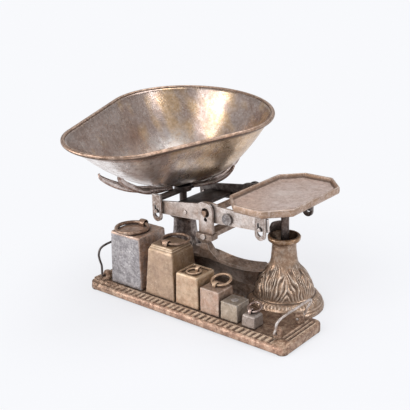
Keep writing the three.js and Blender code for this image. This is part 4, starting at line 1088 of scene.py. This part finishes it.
    def build(self, finisher: Finisher) -> None:
        """Draws the edge in towards the middle line, ring by ring: underside, skirt, edge and top.

        Args:
            finisher: gives the pieces their finishes.
        """
        edge, middle = self.outline()
        depth = (self.back_y - self.front_y) / 2
        under = self.top - self.deck
        low = np.array([
            (depth, under), (20.0, under), (8.7, under), (self.skirt_wall, under - 0.6), (self.skirt_wall, self.skirt),
            (0.8, self.skirt), (0.2, self.skirt + 0.2), (0.0, self.skirt + 0.8), (0.0, 3.6), (0.0, 5.0)])
        rings = len(low)
        inset = np.concatenate([low[:, 0], [0.0, 0.12, 0.3, 0.6, 1.0], np.arange(1.4, 14.4, 0.42),
                                [15.2, 16.4, 18, 20, 23, 27, 32, 37, depth]])[:, None]
        share = (inset / depth)[..., None]
        plan = edge[None] * (1 - share) + middle[None] * share
        top, relief_and_light, rust_and_shade = self.height(plan[..., 0], plan[..., 1], inset)
        height = top.copy()
        flat = low[:, 1:]
        height[:rings] = np.minimum(flat, top[rings][None] - 0.1 * (flat > 3))
        height[:rings] = np.where(inset[:rings] >= self.skirt_wall, flat, height[:rings])
        relief_and_light[:rings] = 0
        rust_and_shade[:rings] = rust_and_shade[rings][None]
        points = np.stack([plan[..., 0], plan[..., 1], height], -1)
        rough = 0.32 * noise3(points, 5.0, 9) + 0.22 * noise3(points, 2.4, 10)
        band = smoothstep(self.band_top_y + 1, self.band_top_y - 2, points[..., 1])
        left = smoothstep(-110, -150, points[..., 0])
        lumps = self.lump_size * noise3(points, 6.5, 12) * left * smoothstep(22, 2, inset)
        points[..., 0] += np.maximum(lumps, -1.5)
        points[..., 2] += 0.5 * lumps * (height > 5)
        points[..., 2] += rough * (height > 3) * (0.25 + 0.6 * np.maximum(band, left)) * (inset < depth - 2)
        points[..., 2] = np.minimum(points[..., 2], self.top + 1.2)
        relief_and_light += 0.5 * rough * np.maximum(band, left)
        body = surface("weight_tray_casting", points, marks={"relief_and_light": relief_and_light, "rust_and_shade": rust_and_shade})
        finisher.stand_for(body, "tray_iron", "weight_tray")
        far = self.half_length - self.foot_inset
        radius, height = spline(self.foot_profile, self.foot_rows).T[..., None]
        for index, (x, y) in enumerate(((x, y) for y in self.foot_ys for x in (-far, far)), 1):
            foot = turned(x, y, radius, once_round(self.foot_sides), np.clip(height, 0, None))
            finisher.ride_along(surface(f"tray_foot_{index}", foot), "tray_iron", "base")


# Eight-sided plate


@dataclass
class GoodsPlate:
    """The eight-sided plate: a flat floor inside a raised rim."""

    centre_x: float = 84.342
    half_x: float = 47.1
    half_y: float = 79.1
    straight_x: float = 20.8
    straight_y: float = 51.9
    corner: float = 1.3
    thickness: float = 3.5
    rim_inset: float = 6.0
    bright_rings: tuple[float, ...] = (0.3, 0.9, 2.8)
    unevenness: float = 0.1

    def outline(self, inset: float) -> Array:
        """The eight-sided outline drawn in by an inset, its corners cut by short arcs.

        Each arc is the quadratic curve from side to side that the corner pulls on. Straight runs join them.

        Args:
            inset: how far inside the outermost line.

        Returns:
            X and Y of each point.
        """
        take = inset * math.tan(math.pi / 8)
        x, y = self.half_x - inset, self.half_y - inset
        sx, sy = self.straight_x - take, self.straight_y - take
        corners = np.array([(x, -sy), (x, sy), (sx, y), (-sx, y), (-x, sy), (-x, -sy), (-sx, -y), (sx, -y)], float)
        a, b = (corners + self.corner * way / np.linalg.norm(way, axis=1, keepdims=True)
                for way in (np.roll(corners, 1, 0) - corners, np.roll(corners, -1, 0) - corners))
        t = np.linspace(0, 1, 7)[None, :, None]
        arc = (1 - t) ** 2 * a[:, None] + 2 * t * (1 - t) * corners[:, None] + t**2 * b[:, None]
        side = np.linspace(0, 1, 14, endpoint=False)[1:][None, :, None]
        run = b[:, None] + side * (np.roll(a, -1, 0) - b)[:, None]
        return np.concatenate([arc, run], 1).reshape(-1, 2)

    def build(self, finisher: Finisher) -> None:
        """Carries the rim's section round the outline and fills the underside and the floor with smaller rings.

        Args:
            finisher: gives the pieces their finishes.
        """
        low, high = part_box("weight_plate")
        bottom, top = low.z / MM, high.z / MM
        floor = bottom + self.thickness
        rim = ((20, bottom), (3.4, bottom), (1.2, bottom + 0.5), (0.35, bottom + 1.6), (0.0, bottom + 4),
               (0.0, top - 1.5), (0.3, top - 0.5), (0.9, top), (2.2, top), (2.8, top - 0.5), (3.1, top - 1.6),
               (3.6, floor + 1.4), (4.4, floor + 0.4), (self.rim_inset, floor))
        rows = [(self.rim_inset, share, bottom) for share in (0.1, 0.4, 0.7)]
        rows += [(inset, 1.0, z) for inset, z in rim]
        rows += [(self.rim_inset, share, floor) for share in (0.85, 0.7, 0.55, 0.4, 0.25, 0.1)]
        points = np.stack([np.insert(self.outline(inset) * share, 2, z, axis=1) for inset, share, z in rows])
        points[..., 0] += self.centre_x
        points += self.unevenness * noise3(points, 11.0, 21)[..., None]
        inset = np.array([row[0] for row in rows])[:, None]
        rust_and_shade = np.where(inset < self.rim_inset, 0.8, 0.0) + 0.25 * noise3(points, 30.0, 2)
        # a darker line along the rim's inner foot and brighter lines along its top edges
        rim_lines = np.where((inset > 3.2) & (inset < 5), -0.9, 0.55 * np.isin(inset, self.bright_rings))
        spot = hump(points[..., 0], self.centre_x - 4, 17) * hump(points[..., 1], 6, 26)
        pale = np.where(rim_lines == 0, 0.62 * spot + 0.2 * noise3(points, 22.0, 9), rim_lines)
        piece = surface("eight_sided_plate", points, marks={"rust_and_shade": rust_and_shade, "relief_and_light": pale})
        finisher.stand_for(piece, "plate_metal", "weight_plate")


# Weights


@dataclass(frozen=True)
class RingSize:
    """A ring's middle radius and wire, the side of its staple (-1 front, 1 back), and where it lies."""

    radius: float
    wire: float
    lug: int
    lug_width: float
    offset: float
    y: float
    lean: float = 0.0
    finish: str = "brown_iron"
    wobble: float = 0.06


@dataclass
class Weight:
    """A tapered square weight with a stepped top, and a ring in a staple or a plug."""

    name: str
    centre_x: float
    foot: float
    edge: float
    edge_height: float
    crown: float
    crown_height: float
    finish: str
    ring_size: RingSize | None = None
    steps: tuple[tuple[float, float, float], ...] = ()
    recess: float = 0.0
    recess_depth: float = 0.0
    top_rust: float = 0.5
    # painted shade on the side that faces +X, in the rust colour
    side_shade: float = 0.6
    corner: float = 1.5
    front_y: float = -101.8
    base_z: float = 14.3
    lug_wall: float = 1.9
    lug_play: float = 1.0
    ring_gap: float = 0.3
    ring_points: int = 120
    wire_points: int = 20
    crease: float = 50.0
    plug_ease: float = 0.4

    @staticmethod
    def squares(half: Array, corner: Array) -> Array:
        """Outlines of squares whose corners are quarter circles of eight points, with twenty points on a side.

        Args:
            half: half widths, one for each row.
            corner: corner radii, one for each row.

        Returns:
            X and Y of each row's outline.
        """
        angle = np.arange(4)[:, None] * np.pi / 2 + np.linspace(0, np.pi / 2, 8)
        signs = np.array([[1, 1], [-1, 1], [-1, -1], [1, -1]])[None, :, None]
        bends = (signs * (half - corner)[:, None, None, None]
                 + corner[:, None, None, None] * np.stack([np.cos(angle), np.sin(angle)], -1))
        t = np.linspace(0, 1, 22)[1:-1][:, None]
        runs = bends[:, :, -1:] * (1 - t) + np.roll(bends, -1, 1)[:, :, :1] * t
        return np.concatenate([bends, runs], 2).reshape(len(half), -1, 2)

    def body(self, finisher: Finisher) -> None:
        """Stacks rounded squares: foot, tapered sides, stepped bevel, and a crown that may be recessed.

        Each row holds a half width, a height, a corner radius and the relief mark there; the marks of the lowest rows
        paint shade along the foot. The rust mark paints shade on the side that faces +X.

        Args:
            finisher: gives the pieces their finishes.
        """
        h0, h1, h2 = self.foot / 2, self.edge / 2, self.crown / 2
        z0, z1, z2 = self.base_z, self.base_z + self.edge_height, self.base_z + self.crown_height
        bend = self.corner
        # painted shade along the foot, where the weight stands on the tray
        rows = [(h0 * 0.6, z0, 1.0, 0.0), (h0 - 1.0, z0, bend, -0.6), (h0 - 0.2, z0 + 0.4, bend, -0.6),
                (h0, z0 + 1.2, bend, -0.35)]
        rows += [(h0 + (h1 - h0) * t, z0 + 1.2 + (z1 - 1.6 - z0) * t, bend, 0.0) for t in np.arange(1, 20) / 20]
        rows += [(h1, z1 - 0.5, bend, 0.1), (h1 - 0.12, z1, bend, 0.5)]
        rows += [(h1 + (h2 - h1) * share, z1 + (z2 - z1) * rise, bend, crest) for share, rise, crest in self.steps]
        rows += [(h2 + 0.35, z2 - 0.3, bend, 0.35), (h2 - 0.4, z2, bend, 0.3)]
        floor, wide = z2, h2
        if self.recess:
            floor, wide = z2 - self.recess_depth, self.recess - 1.6
            rows += [(self.recess + 0.5, z2, bend, 0.2), (self.recess, z2 - 0.4, 1.2, -0.5),
                     (self.recess - 0.2, floor, 1.0, -1.0), (wide, floor, 1.0, -0.7)]
        rows += [(wide * t, floor, bend * t, -0.25 * (t < 0.9)) for t in (0.94, 0.85, 0.65, 0.4, 0.15)]
        half, height, corner, relief_and_light = np.array(rows).T
        points = raised(self.squares(half, np.minimum(corner, half)), height)
        points[..., 0] += self.centre_x
        points[..., 1] += self.front_y + h0
        points += (0.16 * noise3(points, 8.0, 5) + 0.07 * noise3(points, 2.6, 6))[..., None] * [1, 1, 0.6]
        points[..., 2] = np.maximum(points[..., 2], z0)
        # painted shade: the side facing +X takes the rust colour
        side = smoothstep(0.93, 0.985, (points[..., 0] - self.centre_x) / half[:, None])
        rust_and_shade = np.maximum(self.top_rust * smoothstep(z1 - 2.0, z1 + 0.5, points[..., 2]), self.side_shade * side)
        rust_and_shade = rust_and_shade + 0.22 * noise3(points, 12.0, 7)
        piece = surface(f"{self.name}_weight_casting", points, marks={"rust_and_shade": rust_and_shade, "relief_and_light": relief_and_light[:, None]})
        crease_by_angle(piece, math.radians(self.crease))
        finisher.stand_for(piece, self.finish, f"{self.name}_weight")

    @property
    def wire_height(self) -> float:
        """Height of the middle of the ring's wire, over the face that it lies on."""
        return self.base_z + self.crown_height - self.recess_depth + self.ring_gap + self.ring_size.wire

    def staple(self, finisher: Finisher, size: RingSize) -> None:
        """The staple that holds the ring: a flattened section carried up, round a half circle and down.

        Args:
            finisher: gives the pieces their finishes.
            size: the ring's sizes.
        """
        reach = size.wire + self.lug_play + self.lug_wall / 2
        y, z = size.y + size.lug * size.radius, self.wire_height
        angle = np.linspace(0, np.pi, 24)
        legs = np.linspace(z - self.ring_gap - size.wire - 0.6, z, 5)[:-1]
        path = np.zeros((32, 3))
        path[:, 1] = y + reach * np.concatenate([np.ones(4), np.cos(angle), -np.ones(4)])
        path[:, 2] = np.concatenate([legs, z + reach * np.sin(angle), legs[::-1]])
        swell = 1 + 0.12 * np.sin(np.linspace(0, np.pi, 32))
        rings = tube(path, self.lug_wall / 2 * swell, self.wire_points, size.lug_width / self.lug_wall * 0.9, 0.75)
        rings[..., 0] += self.centre_x + size.offset
        weight = f"{self.name}_weight"
        finisher.ride_along(surface(f"{weight}_staple", rings), size.finish, weight)

    def ring(self, finisher: Finisher, size: RingSize) -> None:
        """The ring: a circle carried round a larger one, tilted about the staple.

        The wire's radius swells and shrinks three times in a turn, as on a rod bent by hand.

        Args:
            finisher: gives the pieces their finishes.
            size: the ring's sizes.
        """
        angle = once_round(self.ring_points)[:, None]
        wire = size.wire * (1 - size.wobble + size.wobble * np.sin(3 * angle + 1))
        c, s = section(self.wire_points)
        reach = size.radius + wire * c
        y, z = -size.lug * (size.radius - reach * np.cos(angle)), wire * s
        turn = math.radians(size.lean) * -size.lug
        points = np.stack([
            reach * np.sin(angle) + self.centre_x + size.offset,
            y * math.cos(turn) - z * math.sin(turn) + size.y + size.lug * size.radius,
            y * math.sin(turn) + z * math.cos(turn) + self.wire_height], -1)
        piece = surface(f"{self.name}_weight_ring", points, wrap_rows=True)
        finisher.stand_for(piece, size.finish, f"ring_of_{self.name}_weight")

    def build(self, finisher: Finisher) -> None:
        """Makes the body and what is on top of it.

        Args:
            finisher: gives the pieces their finishes.
        """
        self.body(finisher)
        if self.ring_size:
            self.staple(finisher, self.ring_size)
            self.ring(finisher, self.ring_size)
        else:
            node = f"plug_of_{self.name}_weight"
            plug = eased_copy(node, f"{self.name}_weight_plug", self.plug_ease * MM)
            finisher.stand_for(plug, "pale_plug", node)


# Bails


@dataclass
class Bail:
    """A wire bail hinged in two lugs."""

    side: str
    x: float
    height: float
    lean: float
    finish: str
    radius: float = 1.5
    y: float = -75.5
    z: float = 20.0
    pin: float = 23.0
    lug: float = 5.5
    bulge: float = 36.0
    samples: int = 170
    sides: int = 14

    def build(self, finisher: Finisher) -> None:
        """Carries a round section along a smooth line through nine points, the top, and the nine mirrored.

        The line lies in one plane, which leans about the pins.

        Args:
            finisher: gives the pieces their finishes.
        """
        pin, reach, h, b = self.pin, 1.2 * self.lug, self.height, self.bulge
        half = [(pin - reach, 0), (pin, 0), (pin + reach, 0), (pin + reach + 2 * self.radius, 2 * self.radius),
                (0.9 * b, 0.36 * h), (0.98 * b, 0.6 * h), (b, 0.78 * h), (0.88 * b, 0.94 * h), (0.56 * b, h)]
        line = [(-y, z) for y, z in half] + [(0, h)] + [(y, z) for y, z in reversed(half)]
        path = spline(line, self.samples)
        turn = math.radians(self.lean)
        world = np.stack([path[:, 1] * math.sin(turn), path[:, 0], path[:, 1] * math.cos(turn)], -1)
        wire = tube(world + (self.x, self.y, self.z), self.radius, self.sides)
        piece = surface(f"{self.side}_bail_wire", wire)
        finisher.stand_for(piece, self.finish, f"{self.side}_bail")


# Frame and beam


CORNERS = ("left_front", "left_rear", "right_front", "right_rear")


@dataclass(frozen=True)
class Eased:
    """A CAD node whose hard edges are rounded off by a width in millimetres."""

    node: str
    finish: str
    width: float = 0.6
    browned: float = 0.0
    rusty_foot: float = 0.0

    def build(self, finisher: Finisher) -> None:
        """Makes the rounded copy, browned towards its left end and its foot, and lets it stand for the node.

        Args:
            finisher: gives the pieces their finishes.
        """
        piece = eased_copy(self.node, f"{self.node}_worn", self.width * MM)
        places = np.zeros(len(piece.data.vertices) * 3)
        piece.data.vertices.foreach_get("co", places)
        height = places[2::3]
        rise = (height - height.min()) / (height.max() - height.min())
        brown = np.maximum(self.browned * smoothstep(0.03, -0.04, places[::3]),
                           self.rusty_foot * smoothstep(0.42, 0.12, rise))
        keep_mark(piece.data, "rust_and_shade", brown)
        finisher.stand_for(piece, self.finish, self.node)


@dataclass
class EasedSet:
    """CAD nodes of one sub-assembly that only have their edges eased."""

    pieces: tuple[Eased, ...] = ()

    def build(self, finisher: Finisher) -> None:
        """Makes every piece."""
        for piece in self.pieces:
            piece.build(finisher)


@dataclass
class FrameCastings(EasedSet):
    """The bow, its bridge, the plinth, the fulcrum plates and the bail lugs."""

    pieces: tuple[Eased, ...] = (
        Eased("fulcrum_bow", "bow_iron", 1.0), Eased("fulcrum_bridge", "bow_iron", 0.8),
        Eased("base_plinth", "bow_iron", 0.9), Eased("front_fulcrum_plate", "worn_steel", 0.7, 0.55, 0.9),
        Eased("rear_fulcrum_plate", "dark_iron", 0.7),
        *(Eased(f"{end}_fulcrum_screw", "worn_steel", 0.35) for end in ("front", "rear")),
        *(Eased(f"{corner}_bail_lug", "tray_iron") for corner in CORNERS))


@dataclass
class Beam(EasedSet):
    """The beam: two side bars, the plate between them, knives, rivets and the balance tube."""

    pieces: tuple[Eased, ...] = (
        Eased("beam_front_bar", "worn_steel", browned=0.5), Eased("beam_rear_bar", "dark_iron"),
        Eased("beam_cross_plate", "dark_iron", 0.5),
        *(Eased(f"{end}_beam_rivet", "worn_steel", 0.3) for end in ("front", "rear")),
        Eased("fulcrum_knife", "brown_iron", 0.4),
        *(Eased(f"{corner}_end_knife", "worn_steel", 0.3) for corner in CORNERS),
        Eased("balance_tube", "grey_iron", 0.4), Eased("balance_plug", "grey_iron", 0.7))


@dataclass
class PanCarrier:
    """A bracket with its two links and its stem, on one side."""

    side: str

    def build(self, finisher: Finisher) -> None:
        """Makes the bracket, the links and the stem, and dresses the stem's pin.

        Args:
            finisher: gives the pieces their finishes.
        """
        for part, finish, browned in (("bracket", "dark_iron", 0.0), ("front_link", "link_steel", 0.45),
                                      ("rear_link", "dark_iron", 0.0), ("stem", "dark_iron", 0.0)):
            Eased(f"{self.side}_{part}", finish, 0.5, browned).build(finisher)
        finisher.dress(frame["nodes"][f"{self.side}_stem_pin"], "worn_steel")


@dataclass
class CradleForks:
    """The two bent-rod forks that carry the scoop."""

    swell: float = 0.12
    levels: int = 2
    flat_degrees: float = 3.0

    def build(self, finisher: Finisher) -> None:
        """Subdivides the rods of both forks till round, swelled by what the subdividing takes off.

        Args:
            finisher: gives the pieces their finishes.
        """
        for side in ("left", "right"):
            node = f"{side}_cradle_fork"
            piece = joined_copy(node, f"{node}_rods", self.flat_degrees, self.swell * MM)
            piece.data.polygons.foreach_set("use_smooth", np.full(len(piece.data.polygons), True))
            smooth = piece.modifiers.new("round", "SUBSURF")
            smooth.levels = smooth.render_levels = self.levels
            finisher.stand_for(piece, "rod_brown", node)


@dataclass
class CheckMechanism:
    """The check lever in the plinth, its bracket and its pin, which keep their CAD shapes."""

    parts: tuple[tuple[str, str], ...] = (
        ("check_lever", "dark_iron"), ("check_lever_bracket", "dark_iron"), ("check_lever_pin", "worn_steel"))

    def build(self, finisher: Finisher) -> None:
        """Dresses the nodes as they are."""
        for node, finish in self.parts:
            finisher.dress(frame["nodes"][node], finish)


# Stage


BACKDROP: Colour = (0.94, 0.948, 0.975)
SOFT_SKY: Colour = (0.92, 0.93, 0.96)
FLOOR: Colour = (0.82, 0.82, 0.85)
FLOOR_HALF = 8.0
FLOOR_GAP = 0.0002
FADE_REACH = (0.15, 0.38)
FADE_SHARE = (0.66, 1.0)
SKY_STRENGTH = 0.5


@dataclass(frozen=True)
class Lamp:
    """A square soft lamp that faces the object's middle: its place and side in metres, and its watts."""

    name: str
    place: tuple[float, float, float]
    size: float
    power: float
    target: tuple[float, float, float] = (0, -0.03, 0.12)

    def build(self) -> None:
        """Puts the lamp in the scene."""
        light = bpy.data.lights.new(self.name, "AREA")
        light.shape = "SQUARE"
        light.size = self.size
        light.energy = self.power
        thing = add_object(self.name, light)
        thing.location = self.place
        thing.rotation_euler = (Vector(self.place) - Vector(self.target)).to_track_quat("Z", "Y").to_euler()


LAMPS = (
    Lamp("key_lamp", (-0.42, -1.27, 1.25), 0.4, 2.1), Lamp("fill_lamp", (0.1, -1.6, 1.5), 1.3, 15.4),
    Lamp("left_lamp", (-1.1, -1.25, 0.25), 0.9, 12.8), Lamp("side_lamp", (1.4, 0.35, 0.85), 0.35, 4.5),
    Lamp("top_lamp", (0.1, 0.5, 1.5), 0.9, 9.0))


def floor_material() -> bpy.types.Material:
    """A matt floor that fades into the backdrop's colour away from the object, and keeps its shadow.

    Returns:
        The material.
    """
    material = bpy.data.materials.new("pale_floor")
    desk = NodeDesk.cleared(material)
    matt = desk.add("ShaderNodeBsdfDiffuse", Color=FLOOR)
    glow = desk.add("ShaderNodeEmission", Color=BACKDROP, Strength=1.0)
    away = desk.joined("ShaderNodeVectorMath", {"operation": "LENGTH"}, {0: desk.place()}, "Value")
    path = desk.add("ShaderNodeLightPath")
    seen = desk.math("MAXIMUM", path.outputs["Is Camera Ray"], path.outputs["Is Glossy Ray"])
    share = desk.times(seen, desk.ramp(away, *FADE_REACH, *FADE_SHARE))
    desk.add("ShaderNodeOutputMaterial", Surface=desk.blend(share, matt, glow))
    return material


def build_stage() -> None:
    """A wide pale floor, a white world and soft lamps."""
    corners = np.array([[-1, -1, 0], [1, -1, 0], [1, 1, 0], [-1, 1, 0]]) * FLOOR_HALF
    floor = new_piece("floor", corners - [0, 0, FLOOR_GAP], np.array([[0, 1, 2, 3]]), smooth=False)
    floor.data.materials.append(floor_material())
    world = bpy.data.worlds.new("studio")
    bpy.context.scene.world = world
    desk = NodeDesk.cleared(world)
    soft = desk.add("ShaderNodeBackground", Color=SOFT_SKY, Strength=SKY_STRENGTH)
    seen = desk.add("ShaderNodeBackground", Color=BACKDROP, Strength=1.0)
    path = desk.add("ShaderNodeLightPath")
    desk.add("ShaderNodeOutputWorld", Surface=desk.blend(path.outputs["Is Camera Ray"], soft, seen))
    for lamp in LAMPS:
        lamp.build()


@dataclass(frozen=True)
class PhotoCamera:
    """The camera at the photograph's viewpoint: angles in degrees, lens and sensor in millimetres, place in metres."""

    azimuth: float = 39.947
    elevation: float = 19.262
    roll: float = -1.8
    lens: float = 72.33
    sensor: float = 36.0
    farthest: float = 20.0
    place: tuple[float, float, float] = (0.629, -0.8057, 0.4784)

    def build(self) -> None:
        """Puts the camera in the scene and makes it the active one."""
        azimuth, elevation, roll = (math.radians(v) for v in (self.azimuth, self.elevation, self.roll))
        level = Vector((math.cos(azimuth), math.sin(azimuth), 0))
        back = Vector((math.sin(azimuth), -math.cos(azimuth), 0)) * math.cos(elevation)
        back.z = math.sin(elevation)
        up = back.cross(level)
        right = math.cos(roll) * level + math.sin(roll) * up
        top = math.cos(roll) * up - math.sin(roll) * level
        data = bpy.data.cameras.new("photo_camera")
        data.sensor_width = self.sensor
        data.lens = self.lens
        data.clip_end = self.farthest
        camera = add_object("photo_camera", data)
        camera.matrix_world = Matrix.Translation(self.place) @ Matrix((right, top, back)).transposed().to_4x4()
        bpy.context.scene.camera = camera


WEIGHTS = (
    Weight("largest", -102.4, 55.4, 51.6, 72.0, 49.6, 73.2, "blue_iron", RingSize(21.5, 2.6, 1, 10.0, -4.0, -80.0),
           top_rust=1.0, corner=2.2),
    Weight("second", -42.0, 50.0, 41.5, 61.0, 34.0, 69.0, "warm_iron", RingSize(18.0, 2.1, -1, 9.0, 3.0, -69.0),
           steps=((0.2, 0.25, 0.2), (0.28, 0.42, -0.9), (0.34, 0.46, 0.9), (0.66, 0.66, 0.2), (0.70, 0.72, -0.9),
                  (0.76, 0.76, 0.9))),
    Weight("third", 3.9, 38.0, 35.6, 40.0, 32.0, 43.0, "golden_iron",
           RingSize(8.8, 1.5, 1, 5.4, 0.0, -85.2, finish="golden_iron"),
           steps=((0.12, 0.4, 0.4), (0.4, 0.75, 0.5), (0.75, 0.95, 0.4)), recess=13.6, recess_depth=2.0, corner=2.4),
    Weight("fourth", 41.0, 30.0, 29.4, 32.0, 27.0, 33.0, "pink_iron",
           RingSize(12.2, 1.7, -1, 5.6, 0.0, -76.0, 13.0, "golden_iron"), top_rust=0.6),
    Weight("fifth", 71.2, 25.6, 25.2, 23.0, 24.0, 23.6, "olive_iron", top_rust=0.6),
    Weight("smallest", 100.0, 19.4, 18.2, 13.6, 14.0, 16.0, "grey_pink_iron",
           RingSize(8.3, 1.5, -1, 4.6, -1.0, -85.2, 20.0, "rod_brown"), steps=((0.3, 0.5, 0.3),)),
)


def main() -> None:
    """Builds the camera, the stage and every piece in order."""
    logging.basicConfig(level=logging.INFO, format="%(message)s")
    bpy.context.scene.view_settings.view_transform = "Standard"
    PhotoCamera().build()
    build_stage()
    finisher = Finisher()
    assemblies = (
        FrameCastings(), Beam(), PanCarrier("left"), PanCarrier("right"), CradleForks(), CheckMechanism(), Scoop(),
        Pillar("left", -83.0, "pillar_dark"), Pillar("right", 83.0), MouthGuard(), Tray(), GoodsPlate(), *WEIGHTS,
        Bail("left", -141.5, 44.0, 0.0, "dark_iron"), Bail("right", 141.5, 26.0, 21.0, "worn_steel"))
    for assembly in assemblies:
        log.info("building %s", type(assembly).__name__)
        assembly.build(finisher)


if __name__ == "__main__":
    main()
